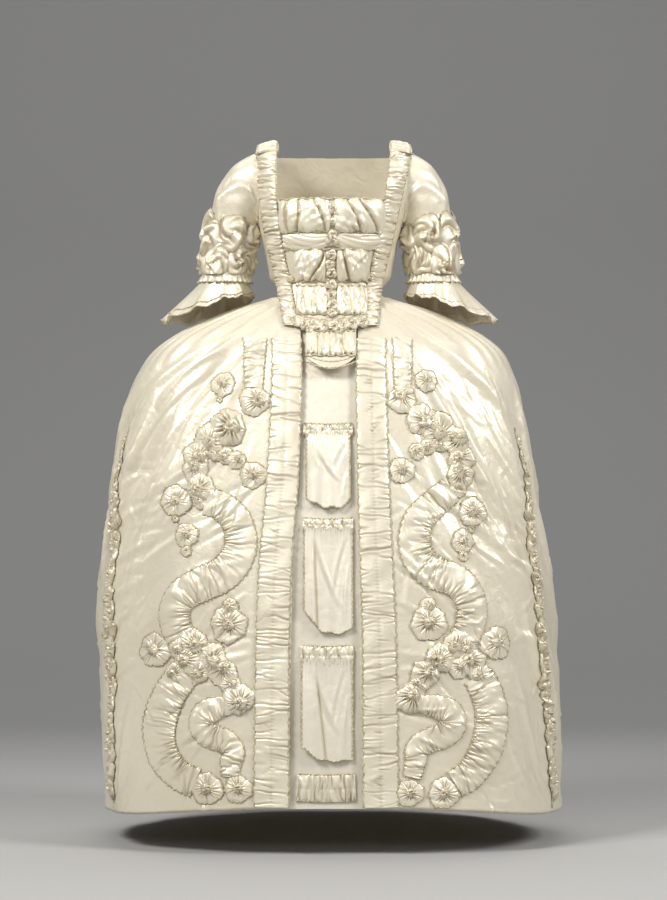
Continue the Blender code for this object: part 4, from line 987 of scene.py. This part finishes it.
def pleated_puff(place, u, v, wide, high, rise, seed, grooves, fan=0.0):
    """A puff gathered along its top and bottom.

    Deep folds run from top to bottom at the given shares of its width; smaller ones start at the
    two seams. Fan leans them all to one side.
    """
    pick = np.random.default_rng(seed)
    a = np.sin(np.linspace(-1, 1, 54) * np.pi / 2)[None, :]
    b = np.sin(np.linspace(-1, 1, 30) * np.pi / 2)[:, None]
    shift = pick.uniform(0, 6)
    bulge = 2.4 if wide < 0.05 else 4
    dome = (np.clip(1 - np.abs(b) ** 2.8, 0, 1) ** 0.55
            * np.clip(1 - np.abs(a) ** bulge, 0, 1) ** 0.45)
    hang = 1 - 0.18 * b
    lift = rise * dome * hang * (0.86 + 0.14 * np.sin(5 * a + 2 * b + shift))
    painted_shade = 0.0 * lift
    marks = [(mark, 1.0, 0.0, 3.0) for mark in grooves]
    for _ in range(int(wide / 0.0095)):
        marks.append((pick.uniform(-1, 1), pick.uniform(0.15, 0.5), pick.choice((-1, 1)),
                      pick.uniform(0.4, 1.3)))
    for mark, depth, seam, reach in marks:
        slope = fan + pick.normal(0, 0.16)
        drift = slope * b + pick.normal(0, 0.08) * (1 - b**2)
        beside = (a - mark - drift) * wide / 2
        fade = 1.0 if seam == 0 else np.clip(1 - np.abs(b - seam) / reach, 0, 1) ** 0.7
        narrow = (0.0013 + 0.0012 * depth) * (1 + 0.5 * (1 - np.abs(b)))
        groove = np.exp(-((beside / narrow) ** 2)) * fade
        welt = np.exp(-(((np.abs(beside) - 2.2 * narrow) / (1.6 * narrow)) ** 2)) * fade
        lift = lift + rise * depth * dome ** 0.4 * (0.20 * welt - 0.55 * groove)
        # Painted shade in the grooves.
        painted_shade = np.maximum(painted_shade, groove * (0.30 + 0.55 * depth))
    for _ in range(11):
        tilt, offset = pick.uniform(-1.1, 1.1), pick.uniform(-0.8, 0.8)
        middle, narrow = pick.uniform(-0.8, 0.8), pick.uniform(0.05, 0.12) * (0.06 / wide) ** 0.5
        beside = (a - middle) * math.cos(tilt) + (b - offset) * math.sin(tilt)
        along = (b - offset) * math.cos(tilt) - (a - middle) * math.sin(tilt)
        part = np.exp(-((along / 0.5) ** 2)) * dome
        ridge = np.exp(-((beside / narrow) ** 2))
        trough = np.exp(-(((beside - 2 * narrow) / narrow) ** 2))
        lift = lift + 0.16 * rise * part * (ridge - 0.8 * trough)
    lift = 0.0028 + np.maximum(lift, 0)
    waist = 1 - 0.12 * np.abs(b) ** 3
    x = u + wide / 2 * a * waist
    z = v + high / 2 * b + 0.0022 * np.sin(7 * a + shift) * np.abs(b) ** 3
    return patch(place(x, z, lift), x, z + 0 * a, np.clip(painted_shade, 0, 1))


def swag(place, u, v, wide, high, rise, seed):
    """A short length of cloth that hangs in curved folds between two gathered ends."""
    a = np.linspace(-1, 1, 48)[None, :]
    b = np.linspace(-1, 1, 26)[:, None]
    sag = 0.35 * (1 - a**2)
    fold = 0.6 * np.abs(np.sin(2.4 * (b + sag) + seed)) ** 0.7
    fold = fold + 0.4 * np.abs(np.sin(5.3 * (b + 1.5 * sag) + 3 * a + 2 * seed)) ** 0.8
    lift = 0.0028 + rise * np.clip(1 - np.abs(b) ** 3, 0, 1) ** 0.6 * (0.45 + 0.55 * fold)
    x = u + wide / 2 * a + 0 * b
    z = v + high / 2 * (b * (0.75 + 0.25 * (1 - a**2)) - 0.4 * sag)
    # Painted shade where the folds dip.
    return patch(place(x, z, lift), x, z, np.clip(0.8 - 1.2 * fold, 0, 1))


# Rows of the stomacher from the neck down: piece, node, then its pleated puffs (middle x, middle
# height, width, height, rise, deep folds, fan), its swags and its knots (middle and radius).
STOMACHER_ROWS = (
    ("stomacher_row_neck", "stomacher_puffs_neck",
     ((-0.054, 0.171, 0.108, 0.070, 0.0135, (-0.70, -0.28, 0.62), 0.0),
      (0.058, 0.171, 0.108, 0.070, 0.0135, (-0.25, 0.35), -0.34)), (),
     ((0.003, 0.186, 0.012), (0.004, 0.158, 0.009), (0.012, 0.174, 0.008))),
    ("stomacher_row_swags", "stomacher_gathers", (),
     ((-0.052, 0.119, 0.092, 0.036, 0.0050, 0.4), (0.054, 0.119, 0.096, 0.036, 0.0050, 1.1)),
     ((0.002, 0.119, 0.014), (0.003, 0.131, 0.009))),
    ("stomacher_row_bust", "stomacher_puffs_bust",
     ((-0.044, 0.067, 0.068, 0.066, 0.0145, (0.45,), 0.20),
      (0.044, 0.067, 0.068, 0.066, 0.0145, (-0.45,), -0.20)), (),
     ((0.000, 0.088, 0.012), (-0.002, 0.068, 0.011), (0.001, 0.050, 0.012),
      (-0.082, 0.040, 0.007), (0.080, 0.044, 0.007))),
    ("stomacher_row_middle", "stomacher_puffs_middle",
     ((-0.054, -0.006, 0.037, 0.060, 0.0125, (), 0.10),
      (-0.024, -0.006, 0.033, 0.060, 0.0125, (), 0.0),
      (0.027, -0.006, 0.033, 0.060, 0.0125, (), 0.0),
      (0.057, -0.006, 0.037, 0.060, 0.0120, (), -0.10)), (),
     ((0.001, 0.026, 0.012), (0.000, 0.004, 0.011), (0.003, -0.016, 0.012),
      (0.002, -0.032, 0.010))),
    ("stomacher_row_waist", "stomacher_waist_trim", (), (),
     ((-0.070, -0.050, 0.013), (-0.052, -0.054, 0.014), (-0.034, -0.058, 0.014),
      (-0.014, -0.060, 0.013), (0.006, -0.059, 0.014), (0.025, -0.058, 0.013),
      (0.044, -0.055, 0.014), (0.064, -0.051, 0.013), (-0.044, -0.066, 0.010),
      (0.016, -0.068, 0.010))),
    ("stomacher_row_point", "stomacher_puffs_point",
     ((-0.040, -0.096, 0.026, 0.048, 0.0105, (), 0.12),
      (-0.015, -0.099, 0.026, 0.050, 0.0115, (), 0.0),
      (0.010, -0.099, 0.026, 0.050, 0.0115, (), 0.0),
      (0.036, -0.097, 0.028, 0.048, 0.0110, (), -0.12)),
     (), ((-0.0275, -0.084, 0.006), (-0.003, -0.110, 0.006), (0.0225, -0.090, 0.006))),
)
for number, (row_name, node, puffs, swags, knots) in enumerate(STOMACHER_ROWS):
    made, spans, area = [], [], 0.0
    for index, puff in enumerate(puffs):
        made.append(([pleated_puff(on_stiff_front, *puff[:5], 300 + 10 * number + index,
                                   *puff[5:])], []))
        spans.append((puff[0], puff[1], puff[2] / 2, puff[3] / 2))
        area += 1.5 * puff[2] * puff[3]
    for part in swags:
        made.append(([swag(on_stiff_front, *part)], []))
        spans.append((part[0], part[1], part[2] / 2, part[3] / 2))
        area += 1.15 * part[2] * part[3]
    for index, (x, height, radius) in enumerate(knots):
        cloth, rim = crumpled_puff(on_stiff_front, x, height, radius, 0.75 * radius,
                                   400 + 10 * number + index, base=0.006, sides=30)
        made.append(([cloth], [rim] if index % 2 else []))
        area += 5.0 * radius**2
    if spans:
        top = max(z + high for _, z, _, high in spans)
        bottom = min(z - high for _, z, _, high in spans)
        left = min(x - wide for x, _, wide, _ in spans)
        right = max(x + wide for x, _, wide, _ in spans)
        xs = np.linspace(left, right, 90)
        for edge_height in (top, bottom):
            levels = edge_height + 0.0014 * np.sin(xs * 290 + number)
            made.append(([], [seam_line(on_stiff_front, xs, levels, 0.0040 + 0 * xs)]))
    sew_rounds(row_name, (node,), made, (area / 0.08, 0.08))

# Two lines of gimp bind the round point below the last puffs.
xs = np.linspace(-0.051, 0.051, 70)
tab_lines = []
for drop in (-0.1235, -0.1365):
    levels = drop - 0.014 * (1 - (xs / 0.052) ** 2)
    tab_lines.append(seam_line(on_stiff_front, xs, levels, 0.0010 + 0 * xs))
sew_gimp("stomacher_point_gimp", tab_lines)

# ---- Bodice fronts and robings ------------------------------------------------------------------
# The fitted fronts lie under narrow ruched robings, which run from the back of the shoulder to
# below the waist, wide at the top and narrow at the waist.

SHOULDER = ((0.0590, 0.3125), (0.042, 0.3240), (0.020, 0.3310), (-0.004, 0.3255))
SHOULDER_MIDDLE, SHOULDER_HALF, SHOULDER_SHIFT = 0.142, 0.024, 0.006
SHOULDER_CENTRE = (0.028, 0.286)


def strap_point(side, away, share, lift):
    """A point of the shoulder strap; share runs 0 to 1 from the back seam to the front."""
    known = np.linspace(0, 1, len(SHOULDER) + 1)
    path = SHOULDER + ((-0.0270, 0.3100),)
    y = np.interp(share, known, [row[0] for row in path])
    z = np.interp(share, known, [row[1] for row in path])
    y, z, away, lift = np.broadcast_arrays(y, z, away, lift)
    outward = unit(np.stack((0 * y, y - SHOULDER_CENTRE[0], z - SHOULDER_CENTRE[1]), axis=-1))
    base = np.stack((side * away + SHOULDER_SHIFT, y, z - 0.2 * (away - SHOULDER_MIDDLE)), axis=-1)
    return base + outward * lift[..., None]


BODICE_CREASES = (
    (-0.128, 0.150, -0.122, 0.040, 0.006, 0.002), (0.128, 0.150, 0.122, 0.040, 0.006, 0.002),
    (-0.140, 0.110, -0.118, 0.090, 0.005, 0.0015), (0.140, 0.110, 0.118, 0.080, 0.005, 0.0015),
)


def bodice_front(side_name, side):
    height = np.linspace(0.310, 0.0015, 66)[:, None]
    inner = side * (from_rows(FRONT_EDGE, height, 1) + 0.001) + from_rows(FRONT_EDGE, height, 2)
    start = front_angle(inner, height)
    end = side * side_angle(ARMHOLE_Y - armhole_reach(height) - 0.001, height)
    share = np.linspace(0, 1, 34)[None, :]
    angle = start + (end - start) * share
    lift = relief(outline(angle, height + 0 * angle, SACK)[..., 0], height, BODICE_CREASES)
    lower = gown_point(angle, height + 0 * angle, lift)
    strap_share = np.linspace(0, 1, 14)[:-1, None]
    away = SHOULDER_MIDDLE + SHOULDER_HALF * np.linspace(-1, 1, 34)[None, :]
    upper = strap_point(side, away, strap_share, 0.0)
    points = np.concatenate((upper, lower))
    along = np.concatenate((0.4 - strap_share * 0.09 + 0 * away, height + 0 * angle))
    across = np.broadcast_to(share * 0.06, points.shape[:2])
    sew("satin_bodice_" + side_name, [patch(points, across, along)], robe_satin,
        ("bodice_front_" + side_name,), (0.085, 0.42),
        thickness=BODICE_WALL)


# Height, distance of the robing's middle from the middle of the front, width of the robing, and
# where that middle of the front lies.
BODICE_ROBING = ((-0.060, 0.082, 0.030, -0.001), (0.025, 0.093, 0.031, -0.004),
                 (0.100, 0.110, 0.034, -0.004), (0.150, 0.120, 0.037, -0.004),
                 (0.205, 0.129, 0.041, -0.002), (0.310, 0.142, 0.044, 0.006))
STRAP_LENGTH = 0.095


def on_bodice_side(side):
    """The robing's own measure: across it, and down from the shoulder seam at the back."""
    def place(across, down, lift):
        across, down, lift = np.broadcast_arrays(across, down, lift)
        height = np.minimum(0.310, 0.310 - (down - STRAP_LENGTH) * 0.985)
        middle = from_rows(BODICE_ROBING, height, 1)
        x = side * (middle + across) + from_rows(BODICE_ROBING, height, 3)
        torso = gown_point(front_angle(x, height), height, lift + 0.0012)
        stiff = on_stiff_front(x, np.minimum(height, 0.205), lift + 0.0012)
        near = np.clip((height - 0.030) / 0.02, 0, 1)[..., None]
        body = stiff + (torso - stiff) * near
        strap = strap_point(side, SHOULDER_MIDDLE + across, np.clip(down / STRAP_LENGTH, 0, 1),
                            lift + 0.0012)
        return np.where((down < STRAP_LENGTH)[..., None], strap, body)
    return place


for number, (side_name, side) in enumerate((("left", -1), ("right", 1))):
    bodice_front(side_name, side)
    sew_band("ruched_bodice_robing_" + side_name, "bodice_robing_" + side_name,
             ((0.0, 0.004), (0.0, 0.100), (0.0, 0.250), (0.0, 0.470)),
             (0.042, 0.040, 0.034, 0.030, 0.029), on_bodice_side(side), 0.011, 0.0060,
             60 + number, ("satin_bodice_" + side_name,))

# ---- Petticoat flounces and headings ----------------------------------------------------------
# Three short flounces hang from ruched headings on the front of the petticoat; a ruched band
# finishes its hem.

# Name, top, bottom, middle, half width, how far the left and the right corner are lifted, and
# where the deep fold starts and ends as shares of the half width.
FLOUNCES = (
    ("petticoat_flounce_1", -0.284, -0.437, -0.006, 0.045, 0.020, 0.018, 1.60, 1.60),
    ("petticoat_flounce_2", -0.478, -0.692, -0.006, 0.050, 0.050, 0.012, -0.62, -0.48),
    ("petticoat_flounce_3", -0.744, -0.950, -0.008, 0.052, 0.030, 0.004, -0.52, -0.10),
)
for number, (node, top, bottom, middle, half_width, left_up, right_up, fold_top,
             fold_end) in enumerate(FLOUNCES):
    level = np.linspace(0, 1, 60)[:, None]
    across = np.linspace(-1, 1, 70)[None, :]
    corner = left_up * np.clip(-across, 0, 1) ** 1.7 + right_up * np.clip(across, 0, 1) ** 5
    z = top + (bottom - top) * level + corner * level + 0.0022 * np.sin(9 * across + number) * level
    wave = np.sin(5 * across + 3 * number) + 0.5 * np.sin(11 * across + 1)
    gathers_top = np.abs(np.sin(26 * across + 2 * np.sin(3 * across))) ** 0.8
    beside = across - fold_top - (fold_end - fold_top) * level
    over = np.clip(3 * level, 0, 1) * (0.5 - 0.5 * np.tanh(beside / 0.035))
    inside = np.clip(3 * level, 0, 1) * np.exp(-(((beside - 0.05) / 0.05) ** 2))
    dents = ((-0.030, top - 0.02, 0.022, bottom + 0.05, 0.005, 0.0026),
             (0.036, top - 0.02, 0.010, bottom + 0.07, 0.004, -0.0022),
             (0.040, top - 0.07, 0.030, bottom + 0.02, 0.004, 0.0020))
    lift = (0.0030 + 0.0035 * level + 0.0014 * wave * level + 0.0050 * over
            + 0.0034 * gathers_top * np.exp(-level / 0.10) - 0.0022 * inside
            + relief(across * half_width, z, dents))
    x = middle + across * half_width + 0 * z
    points = on_petticoat(x, z, lift)
    gimp = sew_gimp(node + "_gimp", [seam_line(on_petticoat, x[edge], z[edge], lift[edge])
                                     for edge in (np.s_[-1], np.s_[:, 0], np.s_[:, -1])])
    # Painted shade at the top of each flounce under its heading, and inside the deep fold.
    sew("satin_" + node[10:], [patch(points, across * half_width + 0 * level, z,
                                     np.clip(0.5 * np.exp(-level / 0.06) * (1 - gathers_top)
                                             + 0.9 * inside, 0, 1))],
        petticoat_satin, (node,), (half_width * 2.3, (top - bottom) * 1.03))

HEADINGS = (
    ("petticoat_heading_1", -0.276, -0.006, 0.051, 0.026),
    ("petticoat_heading_2", -0.471, -0.006, 0.052, 0.026),
    ("petticoat_heading_3", -0.736, -0.008, 0.054, 0.038),
    ("petticoat_hem_band", -1.004, -0.010, 0.060, 0.054),
)
for number, (node, level, middle, half_width, width) in enumerate(HEADINGS):
    sew_band("ruched_" + node[10:], node, ((middle - half_width, level), (middle, level - 0.002),
                                           (middle + half_width, level)), (width, width),
             on_petticoat, 0.009, 0.0050, 90 + number, ("petticoat_cloth",),
             middle_seam=0.5)

# ---- Sleeves -------------------------------------------------------------------------------------
# Elbow-length sleeves of satin, eased into the armhole and nearly smooth over the upper arm, with
# a few soft drags where the arm bends.

# Middle of each ring, half widths across and front to back, how far it leans out, and shift.
SLEEVE = (
    (0.152, 0.010, 0.238, 0.068, 0.052, 88, 0.003), (0.168, 0.010, 0.236, 0.067, 0.052, 83, 0.003),
    (0.183, 0.010, 0.228, 0.063, 0.054, 62, 0.002), (0.200, 0.010, 0.200, 0.055, 0.054, 32, 0.000),
    (0.209, 0.010, 0.155, 0.050, 0.052, 10, -0.002), (0.215, 0.008, 0.105, 0.047, 0.049, 4, -0.003),
    (0.222, 0.002, 0.050, 0.045, 0.046, 0, -0.004),
)
SLEEVE_CREASES = (
    (-0.20, 0.10, 0.05, 0.95, 0.011, 0.0055), (0.10, 0.05, 0.22, 0.90, 0.012, 0.0060),
    (0.30, 0.30, 0.12, 0.98, 0.009, -0.0050), (-0.05, 0.40, -0.14, 1.00, 0.008, 0.0042),
    (0.02, 0.10, 0.30, 0.40, 0.012, 0.0030), (-0.10, 0.72, 0.12, 0.86, 0.010, 0.0030),
)
SLEEVE_WALL = 0.0012    # thickness of the sleeves and of their cuffs


def arm_place(side, turn, along, lift):
    """A point round the arm; along runs 0 to 1 from the armhole to the elbow."""
    rings = np.array(SLEEVE)
    known = np.linspace(0, 1, len(rings))
    smooth = np.linspace(0, 1, 61)
    kernel = np.array((1, 2, 3, 2, 1)) / 9.0
    values = []
    for column in range(1, 8):
        straight = np.interp(smooth, known, rings[:, column - 1])
        padded = np.concatenate(([straight[0]] * 2, straight, [straight[-1]] * 2))
        values.append(np.interp(along, smooth, np.convolve(padded, kernel, "valid")))
    x, y, z, across, deep, lean, shift = values
    tilt = np.radians(lean)
    out = (across + lift) * np.cos(turn)
    return np.stack((side * (x + out * np.cos(tilt)) + shift, y + (deep + lift) * np.sin(turn),
                     z + out * np.sin(tilt)), axis=-1)


def sleeve(side_name, side):
    turn = np.linspace(-np.pi, np.pi, 84, endpoint=False)[None, :]
    along = np.linspace(0, 1, 60)[:, None]
    lift = 0.0
    for copy in (-2 * np.pi, 0, 2 * np.pi):
        lift = lift + relief((turn + copy) * 0.10, along * 0.25,
                             [(s0, z0 * 0.25, s1, z1 * 0.25, width, depth)
                              for s0, z0, s1, z1, width, depth in SLEEVE_CREASES])
    eased = 0.0018 * np.exp(-along / 0.06) * np.sin(22 * turn) * (np.cos(turn) > 0)
    fine = 0.0008 * np.sin(31 * along + 3 * np.sin(2 * turn)) * along
    points = arm_place(side, turn, along, lift + eased + fine)
    points[..., 2] += 0.009 * np.exp(-((along / 0.25) ** 2)) * np.clip(np.cos(turn), 0, 1)
    sew("satin_sleeve_" + side_name, [patch(points, turn * 0.05 + 0 * along, along * 0.25 + 0 * turn,
                                            closed=True)],
        robe_satin, ("sleeve_" + side_name,), (0.33, 0.26),
        thickness=SLEEVE_WALL)


def on_arm(side):
    def place(round_way, down, lift):
        round_way, down, lift = np.broadcast_arrays(round_way, down, lift)
        return arm_place(side, round_way / 0.052, down / 0.24, lift)
    return place


# ---- Elbow puffs and winged cuffs ---------------------------------------------------------------
# A cluster of crumpled puffs sits round each sleeve above the elbow, with a gathered frill below
# it; the winged cuff is short inside the arm and long behind it, edged with gimp.

# Round the arm in metres from its outer side, metres down from the armhole, and radius.
ELBOW_PUFFS = (
    (-0.140, 0.180, 0.030), (-0.086, 0.174, 0.032), (-0.030, 0.182, 0.033), (0.026, 0.173, 0.031),
    (0.080, 0.181, 0.033), (0.134, 0.175, 0.030), (-0.112, 0.216, 0.028), (-0.058, 0.221, 0.030),
    (-0.004, 0.216, 0.029), (0.050, 0.221, 0.030), (0.106, 0.216, 0.029), (0.160, 0.220, 0.027),
)

CUFF_X, CUFF_Y, CUFF_Z, CUFF_SHIFT, CUFF_RADIUS = 0.223, 0.001, 0.036, -0.004, 0.051
CUFF_SHORT, CUFF_LONG, CUFF_TURN = 0.030, 0.118, math.radians(28)


def cuff_point(side, turn, level, lift):
    toward_tip = 0.5 + 0.5 * np.cos(turn - CUFF_TURN)
    length = CUFF_SHORT + (CUFF_LONG - CUFF_SHORT) * toward_tip**1.6
    out = CUFF_RADIUS + length * level * (0.25 + 0.50 * toward_tip) + lift * 0.6
    drop = length * level * (1 - 0.28 * toward_tip) - lift * 0.7
    return np.stack((side * (CUFF_X + out * np.cos(turn)) + CUFF_SHIFT,
                     CUFF_Y + out * np.sin(turn), CUFF_Z - drop), axis=-1)


def winged_cuff(side_name, side):
    turn = np.linspace(-np.pi, np.pi, 160, endpoint=False)[None, :]
    level = np.linspace(0, 1, 17)[:, None]
    flute = np.sin(11 * turn + 1.5 * np.sin(2 * turn)) + 0.5 * np.sin(19 * turn)
    pleat = np.abs(np.sin(17 * turn)) ** 0.8
    lift = 0.0042 * flute * level**1.2 + 0.0020 * pleat * np.exp(-level / 0.15)
    points = cuff_point(side, turn, level, lift)
    above = cuff_point(side, turn, level, lift + 0.01)
    lines = []
    for row in (-1, -4):
        line = np.concatenate((points[row], points[row][:1]))
        normal = unit(above[row] - points[row])
        lines.append((line, np.concatenate((normal, normal[:1]))))
    gimp = sew_gimp("winged_cuff_gimp_" + side_name, lines)
    # Painted shade at the top of the cuff, between its pleats.
    sew("satin_winged_cuff_" + side_name,
        [patch(points, turn * 0.08 + 0 * level, level * 0.1 + 0 * turn, 0.4 * np.exp(-level / 0.1)
               * (1 - pleat), closed=True)], robe_satin, ("winged_cuff_" + side_name,),
        (0.52, 0.085),
        thickness=SLEEVE_WALL)


for side_name, side in (("left", -1), ("right", 1)):
    sleeve(side_name, side)
    cloths, rims = [], []
    for index, (round_way, down, radius) in enumerate(ELBOW_PUFFS):
        cloth, rim = crumpled_puff(on_arm(side), round_way, down, radius * 1.10, 0.52 * radius,
                                   500 + 3 * index + side, base=0.005, sides=48)
        cloths.append(cloth)
        rims.append(rim)
    turn = np.linspace(-np.pi, np.pi, 160, endpoint=False)[None, :]
    level = np.linspace(0, 1, 6)[:, None]
    ruffle = np.sin(24 * turn + 2 * np.sin(3 * turn))
    frill_points = arm_place(side, turn, 0.98 + 0.10 * level, 0.006 + 0.005 * level
                             + 0.0035 * ruffle * level)
    frill_points[..., 2] -= 0.016 * level
    # Painted shade along the top of the frill, under the puffs.
    cloths.append(patch(frill_points, turn * 0.06 + 0 * level, level * 0.02 + 0 * turn,
                        0.3 * (1 - level) + 0 * turn, closed=True))
    base_lift = 0.004 + 0.003 * np.abs(np.sin(13 * turn + 3 * np.sin(turn)))
    base_level = np.linspace(0.60, 0.99, 12)[:, None]
    base = arm_place(side, turn, base_level, base_lift * np.sin(np.pi * (base_level - 0.58) / 0.44))
    # Painted shade over the whole base under the puffs.
    cloths.append(patch(base, turn * 0.05 + 0 * base_level, base_level * 0.25 + 0 * turn, 0.35,
                        closed=True))
    frill_edge = np.concatenate((frill_points[-1], frill_points[-1][:1]))
    outward = unit(frill_edge - frill_edge.mean(axis=0))
    gimp = sew_gimp("elbow_frill_gimp_" + side_name, [(frill_edge, outward)] + rims)
    sew("elbow_puffs_" + side_name, cloths, trim_satin, ("elbow_puff_" + side_name,),
        (0.74, 0.16))
    winged_cuff(side_name, side)

# ---- Studio ------------------------------------------------------------------------------------
# A floor that sweeps up into a wall, pale in front and grey behind, the fade between them painted
# to stand in for the falloff of the light; and a long lens straight in front of the gown.
# Large soft lights stand at both sides, in front and above.

FLOOR = -1.145
bpy.ops.mesh.primitive_plane_add(size=1, location=(0, 0, 0))
studio = bpy.context.object
studio.name = "studio_sweep"
bpy.ops.object.mode_set(mode="EDIT")
bpy.ops.mesh.delete(type="ONLY_FACE")
bpy.ops.object.mode_set(mode="OBJECT")
sweep_turn = np.linspace(0, np.pi / 2, 24)
profile = [(-9.0, FLOOR)] + [(2.6 + 1.6 * math.sin(a), FLOOR + 1.6 - 1.6 * math.cos(a))
                             for a in sweep_turn] + [(4.2, 6.0)]
sweep_points = [(x, y, z) for y, z in profile for x in (-9.0, 9.0)]
sweep_faces = [(2 * i, 2 * i + 1, 2 * i + 3, 2 * i + 2) for i in range(len(profile) - 1)]
sweep_mesh = bpy.data.meshes.new("studio_sweep")
sweep_mesh.from_pydata(sweep_points, [], sweep_faces)
studio.data = sweep_mesh
sweep_mesh.polygons.foreach_set("use_smooth", np.ones(len(sweep_faces), bool))
sweep_material = bpy.data.materials.new("studio_paper")
sweep_material.use_nodes = True
sweep_tree = sweep_material.node_tree
sweep_shader = sweep_tree.nodes["Principled BSDF"]
sweep_shader.inputs["Roughness"].default_value = 0.9
sweep_spot = add_node(sweep_tree, "ShaderNodeTexCoord")
sweep_split = add_node(sweep_tree, "ShaderNodeSeparateXYZ")
sweep_far = add_node(sweep_tree, "ShaderNodeMapRange", (("From Min", 0.2), ("From Max", 3.2)))
# Paper colour, pale floor and grey wall, with a painted falloff of light: paler near the gown, fading
# to grey further back.
sweep_falloff_ramp = add_node(sweep_tree, "ShaderNodeValToRGB")
sweep_falloff_ramp.color_ramp.elements[0].color = (0.42, 0.415, 0.405, 1)
sweep_falloff_ramp.color_ramp.elements[1].color = (0.262, 0.262, 0.262, 1)
wire(sweep_tree, (sweep_spot.outputs["Object"], sweep_split.inputs["Vector"]),
     (sweep_split.outputs["Y"], sweep_far.inputs["Value"]),
     (sweep_far.outputs["Result"], sweep_falloff_ramp.inputs["Fac"]),
     (sweep_falloff_ramp.outputs["Color"], sweep_shader.inputs["Base Color"]))
# Seen from behind, the wall lets the camera look through, so the gown's back can be looked at.
sweep_side = add_node(sweep_tree, "ShaderNodeNewGeometry")
sweep_clear = add_node(sweep_tree, "ShaderNodeBsdfTransparent")
sweep_mix = add_node(sweep_tree, "ShaderNodeMixShader")
wire(sweep_tree, (sweep_side.outputs["Backfacing"], sweep_mix.inputs[0]),
     (sweep_shader.outputs["BSDF"], sweep_mix.inputs[1]),
     (sweep_clear.outputs["BSDF"], sweep_mix.inputs[2]),
     (sweep_mix.outputs["Shader"], sweep_tree.nodes["Material Output"].inputs["Surface"]))
sweep_mesh.materials.append(sweep_material)

# Name, place, width, height, power and colour.
LIGHTS = (
    ("key", (-2.5, -2.7, 2.8), 1.6, 1.4, 190, (1.0, 0.985, 0.95)),
    ("side", (3.1, -1.9, 2.1), 1.0, 1.8, 122, (1.0, 0.99, 0.97)),
    ("front", (-0.8, -6.4, 1.9), 2.2, 1.4, 40, (1.0, 0.995, 0.98)),
    ("floor_light", (0.0, 1.6, 3.4), 4.0, 2.0, 62, (1.0, 1.0, 1.0)),
)
for light_name, location, width, height, power, color in LIGHTS:
    lamp = bpy.data.lights.new(light_name, "AREA")
    lamp.shape, lamp.size, lamp.size_y = "RECTANGLE", width, height
    lamp.energy, lamp.color = power, color
    stand = bpy.data.objects.new(light_name, lamp)
    bpy.context.scene.collection.objects.link(stand)
    stand.location = location
    aim = Vector((0, 0, -0.4)) - Vector(location)
    stand.rotation_euler = aim.to_track_quat("-Z", "Y").to_euler()

world = bpy.data.worlds.new("studio")
world.use_nodes = True
set_inputs(world.node_tree.nodes["Background"], ("Color", (0.55, 0.56, 0.58, 1)),
           ("Strength", 0.30))
bpy.context.scene.world = world
bpy.context.scene.view_settings.view_transform = "Standard"

camera_data = bpy.data.cameras.new("camera")
camera_data.lens, camera_data.sensor_width = 122.0, 36.0
camera = bpy.data.objects.new("camera", camera_data)
bpy.context.scene.collection.objects.link(camera)
camera.location = (0.005, -6.5, -0.32)
camera.rotation_euler = (math.radians(90), 0, 0)
bpy.context.scene.camera = camera
